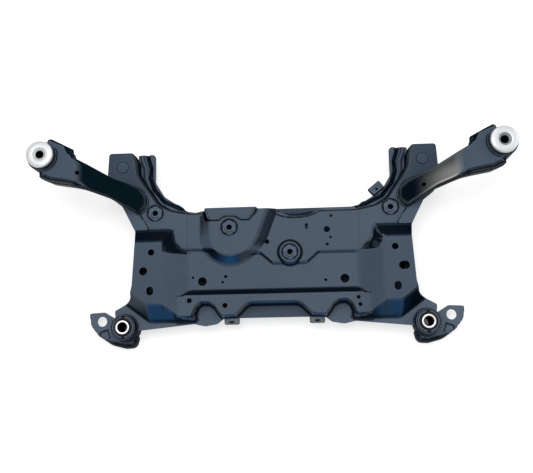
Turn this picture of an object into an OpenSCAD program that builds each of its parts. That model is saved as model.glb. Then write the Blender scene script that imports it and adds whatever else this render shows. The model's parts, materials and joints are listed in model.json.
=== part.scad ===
// Car front subframe: pressed upper panel on a pressed tray, two raised arms, four rubber mounts.
// Millimetres. X runs across the car, +Y is the front, Z is up, the tray stands on z = 0.

/* [Sheet] */
// thickness of the upper panel
panel_t = 2.8; // [2:0.1:4]
// thickness of the lower panel
tray_t = 2.8; // [2:0.1:4]
// thickness of the arm shells
arm_t = 3; // [2:0.1:4]
// thickness of the rear brackets
bracket_t = 4; // [3:0.5:6]

/* [Levels] */
// top of the rear flange of the upper panel
flange_z = 38; // [30:0.5:46]
// top of the sunk rear floor of the upper panel
floor_z = 58; // [50:0.5:66]
// rise of the front floor over the rear floor
step_h = 4; // [2:0.5:8]
// rise of the cross rib along the rear edge
rib_h = 6; // [3:0.5:9]
// top of the side plates
plate_z = 84; // [74:1:96]
// top of the raised seat of the rack nut
seat_z = 72; // [66:0.5:80]
// rise of the round centre boss
boss_h = 6; // [3:0.5:9]

/* [Upper panel] */
// foot of the inner slope of each side plate, from the middle
slope_foot_x = 166; // [160:1:172]
// inner edge of each side plate
plate_in_x = 217; // [212:1:222]
// front edge of each side plate
plate_front_y = 3.5; // [-4:0.5:8]
// foot of the wall in front of each side plate
wall_foot_y = 29; // [24:0.5:34]
// rear edge of each side plate
plate_rear_y = -119; // [-124:0.5:-114]
// front edge of the panel between the ears
front_y = 67; // [62:0.5:70]
// front edge of the ears
ear_front_y = 192; // [180:1:198]
// outer side of the ears
ear_x = 331; // [325:1:340]
// front wall of the cross rib
rib_y = -92; // [-98:0.5:-86]
// radius of the large floor holes
drain_r = 8.7; // [6:0.1:11]

/* [Nuts] */
// bar nut, from the middle
bar_x = 235; // [228:0.5:242]
// bar nut, along the car
bar_y = 65; // [58:0.5:72]
// rack nut, from the middle
rack_x = -85; // [-90:0.5:-80]
// rack nut, along the car
rack_y = 30.5; // [26:0.5:36]
// centre nut, from the middle
centre_x = 34; // [28:0.5:40]
// centre nut, along the car
centre_y = -21; // [-26:0.5:-16]
// radius of the panel holes for the collar nuts
nut_seat_r = 15; // [13.5:0.1:16]
// radius of the flange under the panel
nut_flange_r = 17; // [16.2:0.1:18]
// radius of the threaded holes
thread_r = 5.1; // [4:0.05:6]
// gap round a nut's face in its panel hole
nut_gap = 0.6; // [0.2:0.1:1.5]
// pivot nut in the ear, from the middle
pivot_x = 302.5; // [298:0.5:308]
// pivot nut in the ear, along the car
pivot_y = 162; // [156:0.5:166]

/* [Front mounts] */
// front mount, from the middle
front_mount_x = 440; // [430:1:450]
// front mount, along the car
front_mount_y = 165.5; // [160:0.5:171]
// top of the front collar
collar_top = 165; // [160:1:180]
// top of the arm's flat end
arm_top = 150; // [140:1:152]
// outer radius of the front tube
front_tube_r = 29; // [27:0.5:31]
// wall of the front tube
front_tube_wall = 3; // [2:0.1:4]
// radius of the collar's flange
collar_r = 26; // [23:0.5:28]
// radius of the collar's barrel
barrel_r = 13; // [11:0.5:15]
// radius of the collar's bore
collar_bore_r = 7.2; // [6:0.1:8]

/* [Rear mounts] */
// rear mount, from the middle
rear_mount_x = 298.5; // [294:0.5:303]
// rear mount, along the car
rear_mount_y = -162; // [-166:0.5:-158]
// top of the rear sleeve
sleeve_top = 63; // [58:0.5:70]
// outer radius of the rear tube
rear_tube_r = 25; // [23:0.5:27]
// wall of the rear tube
rear_tube_wall = 3; // [2:0.1:4]
// outer radius of the rear sleeve
sleeve_r = 13.2; // [11:0.1:15]
// radius of the rear sleeve's bore
sleeve_bore_r = 8.2; // [6:0.1:9]
// rear bracket hole, out from the rear mount
bracket_hole_out = 51; // [47:0.5:54]
// rear bracket hole, forward of the rear mount
bracket_hole_fore = 14.5; // [11:0.5:17]
// radius of the rear bracket hole
bracket_hole_r = 10; // [7:0.1:11]
// top of the rear bracket
bracket_z = 22; // [18:0.5:28]

/* [Side plate holes] */
// radius of the first hole
plate_hole_1_r = 6.3; // [5:0.1:8]
// radius of the second hole
plate_hole_2_r = 8; // [6:0.1:9]
// radius of the third hole
plate_hole_3_r = 6.8; // [5:0.1:8]
// stretch of the second right hole into a slot
plate_slot = 5; // [0:0.5:8]

/* [Hidden] */
$fn = 48;
upper_z = floor_z + step_h;
tray_flange_z = flange_z - panel_t;
pivot_face_r = 11.5;
lap = 0.3;
e = 1;

function ramp(u) = let(c = max(0, min(1, u))) c * c * (3 - 2 * c);
function blend(a, b, k) = a + (b - a) * k;
function soft_min(a, b, k) = let(h = max(k - abs(a - b), 0) / k) min(a, b) - h * h * k / 4;
function soft_max(a, b, k) = let(h = max(k - abs(a - b), 0) / k) max(a, b) + h * h * k / 4;
function unit(v) = v / norm(v);
function both(half) = [each half, for (i = [len(half) - 1 : -1 : 0]) [-half[i].x, half[i].y, half[i].z]];

// a clockwise outline of [x, y, corner radius], pulled in by d
function pulled(pts, d) = let(n = len(pts)) [for (i = [0 : n - 1]) let(
    a = [pts[(i + n - 1) % n].x, pts[(i + n - 1) % n].y], b = [pts[i].x, pts[i].y],
    c = [pts[(i + 1) % n].x, pts[(i + 1) % n].y], u = unit(b - a), v = unit(c - b),
    m = [u.y + v.y, -u.x - v.x] / (1 + u * v), turn = u.x * v.y - u.y * v.x)
    [b.x + m.x * d, b.y + m.y * d, turn < 0 ? max(pts[i].z - d, 0.4) : pts[i].z + d]];
function corner(a, b, c, r) = let(u = unit(a - b), v = unit(c - b), g = acos(u * v) / 2,
    p = b + u * r / tan(g), q = b + v * r / tan(g), m = b + unit(u + v) * r / sin(g),
    s = atan2(p.y - m.y, p.x - m.x), w = atan2(q.y - m.y, q.x - m.x) - s,
    k = w > 180 ? w - 360 : w < -180 ? w + 360 : w)
    [for (t = [0 : 4]) m + r * [cos(s + k * t / 4), sin(s + k * t / 4)]];
function ring(pts, d = 0) = let(q = pulled(pts, d), n = len(q)) [for (i = [0 : n - 1]) let(
    a = q[(i + n - 1) % n], b = q[i], c = q[(i + 1) % n])
    each corner([a.x, a.y], [b.x, b.y], [c.x, c.y], b.z)];

// sheet between an upper and a lower net of points, rows to +X and columns to +Y, or both the other way
module sheet(o, n) {
    m = len(o);
    k = len(o[0]);
    s = m * k;
    polyhedron([for (r = o) each r, for (r = n) each r], [
        for (i = [0 : m - 2]) for (j = [0 : k - 2]) let(a = i * k + j, b = a + 1, c = b + k, d = a + k)
            each [[a, b, c], [a, c, d], [s + a, s + c, s + b], [s + a, s + d, s + c]],
        for (i = [0 : m - 2]) let(a = i * k, d = a + k, b = a + k - 1, c = b + k)
            each [[a, d, s + d], [a, s + d, s + a], [c, b, s + b], [c, s + b, s + c]],
        for (j = [0 : k - 2]) let(a = j, b = j + 1, c = s - k + j, d = c + 1)
            each [[b, a, s + a], [b, s + a, s + b], [c, d, s + d], [c, s + d, s + c]]]);
}

// closed band with a closed profile of [pull, z] run round an outline
module band(pts, prof) {
    rings = [for (p = prof) [for (q = ring(pts, p[0])) [q.x, q.y, p[1]]]];
    m = len(rings);
    k = len(rings[0]);
    polyhedron([for (r = rings) each r], [for (i = [0 : m - 1]) for (j = [0 : k - 1]) let(
        a = i * k + j, b = i * k + (j + 1) % k, c = ((i + 1) % m) * k + (j + 1) % k, d = ((i + 1) % m) * k + j)
        each [[a, b, c], [a, c, d]]]);
}

module plate(pts, d, z0, z1) {
    translate([0, 0, z0])
    linear_extrude(z1 - z0)
    polygon(ring(pts, d));
}

// round hole or slot through everything, along Y when long is negative
module hole(x, y, r, long = 0, z0 = -e, z1 = 200) {
    translate([x, y, z0]) {
        if (long == 0)
            cylinder(r = r, h = z1 - z0);
        if (long > 0) {
            for (s = [-1, 1])
                translate([s * long / 2, 0, 0])
                cylinder(r = r, h = z1 - z0);
            translate([-long / 2, -r, 0])
            cube([long, 2 * r, z1 - z0]);
        }
        if (long < 0) {
            for (s = [-1, 1])
                translate([0, s * long / 2, 0])
                cylinder(r = r, h = z1 - z0);
            translate([-r, long / 2, 0])
            cube([2 * r, -long, z1 - z0]);
        }
    }
}

module tube(r, wall, z0, z1) {
    difference() {
        translate([0, 0, z0])
        cylinder(r = r, h = z1 - z0);
        translate([0, 0, z0 - e])
        cylinder(r = r - wall, h = z1 - z0 + 2 * e);
    }
}

// upper panel

// line of the step between the rear and the front floor
function step_line(x) = lookup(x, [[-150, -10], [-40, -20], [-24, -20], [0, -41], [66, -41], [90, -20]]);
// line of the drop from the floor to the rear flange
function drop_line(ax) = lookup(ax, [[0, -118], [42, -118], [54, -127], [64, -138], [74, -147], [104, -149],
    [112, -139], [120, -127], [130, -121], [142, -121], [150, -128], [156, -144], [162, -149], [340, -149]]);
function floor_h(x, y) = let(ax = abs(x))
    floor_z + step_h * ramp((y - step_line(x) + 4) / 8)
    + rib_h * ramp((rib_y - y) / 9) * ramp((178 - ax) / 14);
function drop_h(x, y) = let(ax = abs(x), line = max(drop_line(ax), lookup(ax, [[192, -150], [222, -118], [250, -60]])))
    blend(flange_z, floor_h(x, y), ramp((y - line) / 7));
function plate_h(ax, y) = let(
    foot = blend(slope_foot_x, 198, ramp((y + 16) / 22)),
    front = plate_z - (y - plate_front_y) * (plate_z - upper_z) / (wall_foot_y - plate_front_y),
    inner = plate_z + (ax - plate_in_x) * (plate_z - floor_z) / (plate_in_x - foot),
    rear = plate_z + (y - plate_rear_y) * (plate_z - flange_z) / 31,
    turned = plate_z - ((ax - 246) * 0.6 - (y - plate_rear_y + 1) * 0.8) * (plate_z - flange_z) / 26)
    soft_min(soft_min(soft_min(front, inner, 8), soft_min(rear, turned, 8), 8), plate_z, 8);
function seat_k(x, y) = let(u = x - rack_x - 1, w = u < 0 ? u : u * 60 / (60 + 0.32 * max(0, y + 9)))
    ramp((60 - norm([w, min(y - 18, 0)])) / 22);
function top_h(x, y) = let(ax = abs(x),
    seat = blend(drop_h(x, y), seat_z, seat_k(x, y)))
    ax > 150 ? soft_max(seat, plate_h(ax, y), 6) : seat;
function top_n(x, y) = let(d = 1.5)
    unit([top_h(x - d, y) - top_h(x + d, y), top_h(x, y - d) - top_h(x, y + d), 2 * d]);

// line where the side pieces of the panel meet its middle
seam_x = 198;
half_x = [0, 14, 28, 42, 54, 64, 74, 82, 93, 104, 112, 120, 130, 142, 150, 156, 162, 168, 178, 188, seam_x, 208, 218,
    228, 244, 257, 266, 274, 284, 300, 336];
grid_x = [for (i = [len(half_x) - 1 : -1 : 1]) -half_x[i], each half_x];
rib_rows = [rib_y - 9, rib_y - 6, rib_y - 3, rib_y, rib_y + 6];
plain_rows = [-70, -56, -48, -42, -36, -30, -24, -18, -12, -6, 0, 5, 11, 17, 23, 29, 36.5, 46, 58, 76, 112, 150, 200];
function rows(x) = let(w = drop_line(abs(x))) [-176, (w - 180) / 2, w - 3, w, w + 2.4, w + 4.7, w + 7.4,
    (w + 7.4 + rib_rows[0]) / 2, each rib_rows, each plain_rows];
nx = len(grid_x);
ny = len(rows(0));
// cells of the middle, s = 0, or of the left or right side
function used(i, j, s) = i < 0 || j < 0 || i > nx - 2 || j > ny - 2 ? false : let(
    m = (grid_x[i] + grid_x[i + 1]) / 2, x = abs(m), y = (rows(x)[j] + rows(x)[j + 1]) / 2)
    (s == 0 ? x < seam_x : m * s > seam_x) &&
    x > lookup(y, [[66, -9], [68, 150], [94, 190], [131, 225], [196, 240]])
    && x < lookup(y, [[-176, 336], [-112, 336], [-104, 300], [-90, 285], [29, 285], [50, 310], [66, 336]]);

// outline of the skirt, then round the ears, sides and rear
skirt_half = [[166, front_y, 14], [206, front_y + 9, 14], [230, front_y + 24, 24], [269, 150, 24], [270, 174, 8],
    [280, ear_front_y, 8]];
rest_half = [[ear_x, ear_front_y, 6], [ear_x + 2, 146, 20], [329, 102, 14], [303, 82, 14], [275, wall_foot_y, 14],
    [271, plate_front_y, 14], [276, -84, 30], [282, -107, 16], [320, -128, 5], [317, -150, 4], [271, -168, 6],
    [160, -157, 10], [138, -162, 14], [114, -158, 10], [101, -148, 10], [60, -147, 6]];
panel_out = [for (i = [len(skirt_half) - 1 : -1 : 0]) [-skirt_half[i].x, skirt_half[i].y, skirt_half[i].z],
    each skirt_half, each both(rest_half)];
skirt_w = 6;

// windows in the front edge: over the lower panel's step, and the round relief
step_window = [[-140, front_y + 9, 2], [-26, front_y + 9, 2], [-32, 59, 5], [-45, 45, 6], [-62, 45, 5], [-74, 53, 6],
    [-96, 53, 6], [-107, 45, 5], [-134, 45, 6]];
relief_r = 62;
relief_x = 52;
relief_in = 17;

module panel_blank(s) {
    top = [for (j = [0 : ny - 1]) for (i = [0 : nx - 1]) let(x = grid_x[i], y = rows(x)[j]) [x, y, top_h(x, y)]];
    low = [for (p = top) p - panel_t * top_n(p.x, p.y)];
    n = nx * ny;
    cells = [for (j = [0 : ny - 2]) for (i = [0 : nx - 2]) if (used(i, j, s)) [i, j]];
    polyhedron([each top, each low], [for (c = cells) let(a = c[1] * nx + c[0], b = a + 1, d = a + nx, f = d + 1)
        each [[a, d, f], [a, f, b], [n + a, n + f, n + d], [n + a, n + b, n + f],
        if (!used(c[0], c[1] - 1, s)) each [[a, b, n + b], [a, n + b, n + a]],
        if (!used(c[0], c[1] + 1, s)) each [[f, d, n + d], [f, n + d, n + f]],
        if (!used(c[0] - 1, c[1], s)) each [[d, a, n + d], [a, n + a, n + d]],
        if (!used(c[0] + 1, c[1], s)) each [[b, f, n + f], [b, n + f, n + b]]]]);
}

module panel_skirt() {
    last = len(skirt_half) * 10 - 1;
    t = panel_t;
    outer = [[skirt_w, upper_z], [3.4, upper_z - 0.6], [2, upper_z - 2.6], [1.4, upper_z - 6], [0, tray_flange_z]];
    inner = [[skirt_w, upper_z - t], [4.6, upper_z - t - 0.2], [4.4, upper_z - t - 1.2], [4.2, upper_z - 6.6],
        [t, tray_flange_z]];
    o = [for (p = outer) ring(panel_out, p[0])];
    n = [for (p = inner) ring(panel_out, p[0])];
    sheet([for (i = [0 : last]) [for (j = [0 : len(outer) - 1]) [o[j][i].x, o[j][i].y, outer[j][1]]]],
        [for (i = [0 : last]) [for (j = [0 : len(inner) - 1]) [n[j][i].x, n[j][i].y, inner[j][1]]]]);
}

module centre_boss() {
    z = upper_z + boss_h;
    r = nut_seat_r;
    t = panel_t;
    translate([centre_x, centre_y, 0])
    rotate_extrude()
    polygon([[r, z - t], [r, z], [r + 4.6, z], [r + 6, z - 0.8], [r + 10.4, floor_z - 2], [r + 7.4, floor_z - 2],
        [r + 3.8, z - t]]);
}

module relief() {
    hole(relief_x, front_y - relief_in + relief_r, relief_r);
}

// middle of the panel, s = 0, or its left or right side
module panel_piece(s) {
    color("slategray")
    difference() {
        intersection() {
            panel_blank(s);
            difference() {
                plate(panel_out, 0, 0, 120);
                difference() {
                    panel_skirt_zone();
                    skirt_gap();
                }
                if (s == 0)
                    hole(centre_x, centre_y, nut_seat_r + 6);
            }
        }
        if (s == 0) {
            plate(step_window, 0, 0, 120);
            relief();
            hole(rack_x, rack_y, nut_seat_r);
            for (k = [-1, 1])
                hole(k * 140.5, -75, drain_r);
            for (h = [[-159, -67, 2.6], [-94, -66, 3.3], [-100, -77, 2.7], [-11, 1, 4.8], [-165, -113, 5], [-95, -124, 5],
                [165, -113, 4], [168, -127, 4], [108, 23, 6.3], [117, 50, 2.6], [115, 7, 2.7], [108, -7, 3], [103, -77, 2.9]])
                hole(h.x, h.y, h.z);
            hole(68, 30, 2.6, -5);
        } else {
            hole(s * bar_x, bar_y, nut_seat_r);
            hole(s * pivot_x, pivot_y, pivot_face_r + nut_gap);
            hole(s * 238, -18, plate_hole_1_r);
            hole(s * 254, -55, plate_hole_2_r, s > 0 ? plate_slot : 0);
            hole(s * 240, -94, plate_hole_3_r, -3.5);
            hole(s * rear_mount_x, rear_mount_y, rear_tube_r);
        }
    }
}

module upper_panel() {
    panel_piece(0);
    color("slategray")
    centre_boss();
}

module left_upper_side() {
    panel_piece(-1);
}

module right_upper_side() {
    panel_piece(1);
}

module front_skirt(s) {
    color("slategray")
    intersection() {
        difference() {
            panel_skirt();
            skirt_gap();
            relief();
        }
        translate([s > 0 ? 0 : -400, 0, 0])
        cube([400, 300, 120]);
    }
}

module left_skirt() {
    front_skirt(-1);
}

module right_skirt() {
    front_skirt(1);
}

// stretch of the front edge that has no skirt
module skirt_gap() {
    half = sqrt(pow(relief_r, 2) - pow(relief_r - relief_in + skirt_w + e, 2));
    translate([-140, front_y - relief_in, -e])
    cube([140 + relief_x - half, 40, 140]);
}

// strip of the outline that the skirt takes over from the blank
module panel_skirt_zone() {
    last = len(skirt_half) * 10 - 1;
    a = ring(panel_out, -e);
    b = ring(panel_out, skirt_w);
    linear_extrude(120)
    polygon([for (i = [0 : last]) a[i], for (i = [last : -1 : 0]) b[i]]);
}

// lower panel

lower_half = [[146, front_y + 5, 10], [157, front_y + 2, 14], [172, front_y + 7, 14], [220, front_y + 42, 18],
    [238, front_y + 66, 14], [238, ear_front_y - 1, 5], [ear_x, ear_front_y - 1, 6], each [for (i = [1 : 15]) rest_half[i]]];
tray_half = [[150, front_y - 11, 20], [205, front_y - 2, 20], [235, front_y + 19, 24], [274, 146, 24], [276, 188, 4],
    [ear_x - 5, 188, 8],
    [ear_x - 3, 146, 20], [324, 106, 12], [298, 86, 14], [269, 33, 14], [265, 3, 14], [271, -84, 30], [266, -112, 20],
    [250, -138, 16], [160, -136, 12]];
ear_half = [[262, 96, 2], [262, ear_front_y - 1, 4], [ear_x, ear_front_y - 1, 12], [ear_x + 2, 146, 20], [326, 96, 12]];
// raised step of the lower panel in the front window of the upper one
step_out = [[-138, front_y + 5, 8], [-28, front_y + 5, 8], [-34, 58, 6], [-42, 43, 6], [-124, 43, 6], [-132, 50, 6]];
step_top = seat_z - panel_t - 4.6;
beads = [[-150, -40, 60], [150, -40, 60], [0, 10, 150], [0, -90, 190]];

module side_wall() {
    a = [for (p = ring(panel_out, 2)) if (p.x > 250 && p.y < 84 && p.y > -98) p];
    b = [for (p = ring(panel_out, 2 + tray_t)) if (p.x > 250 && p.y < 84 && p.y > -98) p];
    intersection() {
        translate([0, 0, tray_flange_z])
        linear_extrude(plate_z)
        polygon([each a, for (i = [len(b) - 1 : -1 : 0]) b[i]]);
        translate([340, 0, 0])
        rotate([90, 0, -90])
        linear_extrude(110)
        polygon([[99, 10], [99, plate_z - panel_t], [8, plate_z - panel_t], [-plate_front_y, plate_z - panel_t - 2.6],
            [-wall_foot_y + 5, upper_z - panel_t - 1], [-wall_foot_y, upper_z - panel_t], [-84, upper_z - panel_t],
            [-84, 10]]);
    }
}

module lower_shell() {
    t = tray_t;
    f = tray_flange_z;
    color("dimgray")
    difference() {
        union() {
            difference() {
                plate(both(lower_half), 0, f - t, f);
                plate(both(tray_half), 1, f - t - e, f + e);
            }
            band(both(tray_half), [[14, 0], [10, 0], [7, 1.6], [5, 5], [0, f], [t, f], [7.8, 5.4], [8.4, 3.4],
                [10.5, t + 0.4], [14, t]]);
            plate(both(tray_half), 12, 0, t);
            for (s = [0, 1])
                mirror([s, 0, 0]) {
                    plate(ear_half, 0, 0, t);
                    translate([84 - 11, -158, f - t])
                    cube([22, 30, t]);
                }
            for (b = beads)
                hole(b.x, b.y, 13, b.z, t / 2, t + 6);
        }
        for (b = beads)
            hole(b.x, b.y, 13 - t, b.z, -e, 6);
        for (s = [-1, 1]) {
            translate([0, 0, t])
            linear_extrude(120)
            polygon([for (p = [[290, 110], [290, 160], [283, 172], [283, ear_front_y + 48], [ear_x + 29, ear_front_y + 48],
                [ear_x + 29, 110]]) [s * p.x, p.y]]);
            hole(s * rear_mount_x, rear_mount_y, rear_tube_r);
            hole(s * bar_x, bar_y, 13);
            hole(s * pivot_x, pivot_y, 7);
            hole(s * 240, -55, 16);
            hole(s * 84, -153, 4);
            hole(s * 196, -100, 6);
        }
        hole(rack_x, rack_y - 52, 12);
        hole(centre_x, centre_y - 8, 13);
    }
}

// the part of the tray under an ear
module ear_zone() {
    y = front_y + 37;
    translate([0, 0, -e])
    linear_extrude(60)
    polygon([[190, y], [270, y], [270, y + 9], [ear_x + 29, y + 9], [ear_x + 29, ear_front_y + 28], [190, ear_front_y + 28]]);
}

module lower_panel() {
    difference() {
        lower_shell();
        ear_zone();
        mirror([1, 0, 0])
        ear_zone();
    }
}

module right_ear_base() {
    intersection() {
        lower_shell();
        ear_zone();
    }
}

module left_ear_base() {
    mirror([1, 0, 0])
    right_ear_base();
}

module right_side_wall() {
    color("dimgray")
    side_wall();
}

module left_side_wall() {
    mirror([1, 0, 0])
    right_side_wall();
}

module front_step() {
    t = tray_t;
    f = tray_flange_z;
    color("dimgray")
    difference() {
        plate(step_out, 0, f, step_top);
        plate(step_out, t, f - e, step_top - t);
        translate([-200, 0, f - t])
        cube([200, 48, step_top - f]);
    }
}

// arms

bend_x = 366;
arm_slope = (arm_top - upper_z) / (bend_x - 260);
function arm_z(x) = soft_min(arm_top, arm_top - (bend_x - x) * arm_slope, 16);
arm_front = [[0, [427, 200]], [1, [379, 178]], [1.6, [376, 166]], [2.2, [364, 151]], [4, [315, 133]], [6, [268, 115]],
    [7, [240, 103]]];
arm_rear = [[0, [444, 130]], [1, [404, 115]], [1.6, [384, 108]], [2.2, [368, 103]], [4, [322, 93]], [6, [280, 73]],
    [7, [252, 56]]];
arm_at = [0, 0.5, 1, 1.3, 1.6, 1.9, 2.2, 2.6, 3, 3.5, 4, 5, 6, 7];
function along(tab, s) = [lookup(s, [for (p = tab) [p[0], p[1].x]]), lookup(s, [for (p = tab) [p[0], p[1].y]])];
// cross-section points [from the front edge or, when negative, from the rear edge, height over the top]
function arm_net(sec) = [for (s = arm_at) let(f = along(arm_front, s), r = along(arm_rear, s), u = unit(r - f))
    [for (c = sec) let(p = c[0] >= 0 ? f + u * c[0] : r + u * c[0]) [p.x, p.y, arm_z(p.x) + c[1]]]];
arm_lip = 14;
arm_depth = 44;
cover_out = [[0, -arm_lip], [0, -5], [1.5, -1.5], [5, 0], [-5, 0], [-1.5, -1.5], [-0.001, -5], [-0.001, -arm_lip]];
cover_in = let(t = arm_t) [[t, -arm_lip], [t, -6.2], [t + 0.6, -t - 1], [t + 2.6, -t - 0.4], [-t - 2.6, -t - 0.4],
    [-t - 0.6, -t - 1], [-t, -6.2], [-t, -arm_lip]];
wall_in = arm_t + lap;
channel_in = let(a = wall_in + arm_t, d = arm_depth - arm_t) [[a, -7], [a, -d + 8], [a + 1.6, -d + 2], [a + 6, -d],
    [-a - 6, -d], [-a - 1.6, -d + 2], [-a, -d + 8], [-a, -7]];
channel_out = let(a = wall_in, d = arm_depth) [[a, -7], [a, -d + 9], [a + 2, -d + 2.4], [a + 8, -d],
    [-a - 8, -d], [-a - 2, -d + 2.4], [-a, -d + 9], [-a, -7]];
foot_pts = [[312, 99, 1], [313, 93, 3], [301, 80, 6], [279, 37, 4], [250, 37, 4], [258, 50, 3], [276, 66.6, 1],
    [286, 73, 1], [290, 83, 1]];

module arm_trim() {
    translate([200, 0, -arm_depth])
    cube([200, 240, upper_z + arm_depth]);
    translate([front_mount_x, front_mount_y, 0])
    cylinder(r = front_tube_r, h = 220);
}

module arm_channel() {
    color("dimgray")
    difference() {
        union() {
            sheet(arm_net(channel_in), arm_net(channel_out));
            plate(foot_pts, 0, upper_z, upper_z + arm_t);
        }
        arm_trim();
    }
}

module arm_cover(side) {
    color("slategray")
    difference() {
        sheet(arm_net(cover_out), arm_net(cover_in));
        arm_trim();
        if (side < 0)
            hole(370, 131, 4);
        else
            hole(297, 99, 4);
    }
}

module left_arm_channel() {
    mirror([1, 0, 0])
    arm_channel();
}

module right_arm_channel() {
    arm_channel();
}

module left_arm_cover() {
    mirror([1, 0, 0])
    arm_cover(-1);
}

module right_arm_cover() {
    arm_cover(1);
}

// front mounts

front_tube_z0 = arm_top - arm_depth - 4;
front_tube_z1 = arm_top + 1;
collar_t = 8;

module at_front(s) {
    translate([s * front_mount_x, front_mount_y, 0])
    children();
}

module front_tube(s) {
    color("dimgray")
    at_front(s)
    tube(front_tube_r, front_tube_wall, front_tube_z0, front_tube_z1);
}

module front_rubber(s) {
    r = front_tube_r - front_tube_wall;
    color("black")
    at_front(s)
    difference() {
        union() {
            translate([0, 0, front_tube_z0 + 4])
            cylinder(r = r, h = front_tube_z1 - front_tube_z0 - 6);
            translate([0, 0, front_tube_z1 - 3])
            cylinder(r1 = r - 1, r2 = r - 4, h = collar_top - collar_t - front_tube_z1 + 3);
        }
        cylinder(r = barrel_r, h = 220);
    }
}

module front_collar(s) {
    color("silver")
    at_front(s)
    difference() {
        union() {
            translate([0, 0, front_tube_z0 - 2])
            cylinder(r = barrel_r, h = collar_top - front_tube_z0 + 1);
            translate([0, 0, collar_top - collar_t])
            cylinder(r = collar_r, h = collar_t - 2);
            translate([0, 0, collar_top - 2])
            cylinder(r1 = collar_r, r2 = collar_r - 2, h = 2);
        }
        cylinder(r = collar_bore_r, h = 220);
        translate([0, 0, collar_top - 4])
        cylinder(r1 = collar_bore_r + 1.4, r2 = collar_bore_r + 5.4, h = 4 + e);
    }
}

module left_front_tube() {
    front_tube(-1);
}

module right_front_tube() {
    front_tube(1);
}

module left_front_rubber() {
    front_rubber(-1);
}

module right_front_rubber() {
    front_rubber(1);
}

module left_front_collar() {
    front_collar(-1);
}

module right_front_collar() {
    front_collar(1);
}

// rear mounts

rear_tube_z1 = sleeve_top - 4;

module at_rear(s) {
    translate([s * rear_mount_x, rear_mount_y, 0])
    children();
}

module rear_tube(s) {
    color("dimgray")
    at_rear(s)
    tube(rear_tube_r, rear_tube_wall, 0, rear_tube_z1);
}

module rear_rubber(s) {
    r = rear_tube_r - rear_tube_wall;
    color("black")
    at_rear(s)
    difference() {
        union() {
            translate([0, 0, 4])
            cylinder(r = r, h = rear_tube_z1 - 9);
            translate([0, 0, rear_tube_z1 - 6])
            cylinder(r1 = r, r2 = r - 2, h = 7);
        }
        translate([0, 0, -e])
        cylinder(r = sleeve_r, h = 100);
        translate([0, 0, rear_tube_z1 - 4])
        tube(r - 3.4, r - 3.4 - sleeve_r + e, 0, 12);
        for (k = [-1, 1])
            translate([0, k * r, rear_tube_z1])
            cube([5, 10, 10], center = true);
    }
}

module rear_sleeve(s) {
    color("silver")
    at_rear(s)
    difference() {
        union() {
            cylinder(r = sleeve_r, h = sleeve_top - 1);
            translate([0, 0, sleeve_top - 1])
            cylinder(r1 = sleeve_r, r2 = sleeve_r - 1, h = 1);
        }
        translate([0, 0, -e])
        cylinder(r = sleeve_bore_r, h = sleeve_top + 2 * e);
    }
}

module left_rear_tube() {
    rear_tube(-1);
}

module right_rear_tube() {
    rear_tube(1);
}

module left_rear_rubber() {
    rear_rubber(-1);
}

module right_rear_rubber() {
    rear_rubber(1);
}

module left_rear_sleeve() {
    rear_sleeve(-1);
}

module right_rear_sleeve() {
    rear_sleeve(1);
}

// rear brackets

// outline about the rear mount's centre
bracket_pts = [[74.5, 40, 6], [76.5, 10, 20], [59.5, -16, 26], [33.5, -34, 26], [1.5, -38, 20], [-22.5, -36, 10],
    [-24.5, 12, 6], [23.5, 40, 6]];
bracket_drop = 16;

module rear_bracket() {
    t = bracket_t;
    z = bracket_z;
    color("slategray")
    translate([rear_mount_x, rear_mount_y, 0])
    difference() {
        union() {
            plate(bracket_pts, 3, z - t, z);
            intersection() {
                band(bracket_pts, [[0, z - bracket_drop], [0, z - 5], [1.4, z - 1.4], [5, z], [5, z - t],
                    [t, z - t - 1], [t, z - bracket_drop]]);
                translate([0, 0, -e])
                linear_extrude(60)
                polygon([[-23, -41], [101.5, -41], [101.5, 34], [41.5, 34], [23.5, 20], [-23, 20]]);
            }
            translate([bracket_hole_out, bracket_hole_fore, z - 1])
            cylinder(r = bracket_hole_r + 4, h = 2.2);
        }
        translate([0, 0, -e])
        linear_extrude(60)
        polygon([[-38.5, 62], [101.5, 62], [101.5, 31], [73.5, 31], [43.5, 33], [24.5, 20], [-0.5, 20], [-0.5, -9],
            [-38.5, -9]]);
        hole(0, 0, rear_tube_r);
        hole(bracket_hole_out, bracket_hole_fore, bracket_hole_r);
    }
}

module left_rear_bracket() {
    mirror([1, 0, 0])
    rear_bracket();
}

module right_rear_bracket() {
    rear_bracket();
}

// nuts, clips and the hose bracket

nut_h = 16;

module collar_nut(x, y, top, face_r = nut_seat_r - nut_gap) {
    color("gray")
    translate([x, y, top - panel_t])
    difference() {
        union() {
            translate([0, 0, -0.001])
            cylinder(r = face_r, h = panel_t - 0.5, $fn = 12);
            translate([0, 0, -4])
            cylinder(r = nut_flange_r, h = 4);
            translate([0, 0, -nut_h])
            cylinder(r = thread_r + 6, h = nut_h - 3);
        }
        translate([0, 0, -nut_h - e])
        cylinder(r = thread_r, h = nut_h + 20);
    }
}

module left_bar_nut() {
    collar_nut(-bar_x, bar_y, upper_z);
}

module right_bar_nut() {
    collar_nut(bar_x, bar_y, upper_z);
}

module rack_nut() {
    collar_nut(rack_x, rack_y, seat_z);
}

module centre_nut() {
    collar_nut(centre_x, centre_y, upper_z + boss_h);
}

module pivot_nut(s) {
    color("gray")
    translate([s * pivot_x, pivot_y, upper_z - panel_t])
    difference() {
        union() {
            cylinder(r = pivot_face_r, h = panel_t);
            translate([0, 0, -3])
            cylinder(r = pivot_face_r + 4, h = 3);
            translate([0, 0, -12])
            cylinder(r = 11, h = 10);
        }
        translate([0, 0, -12 - e])
        cylinder(r = thread_r, h = 12 + e);
    }
}

module left_pivot_nut() {
    pivot_nut(-1);
}

module right_pivot_nut() {
    pivot_nut(1);
}

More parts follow.
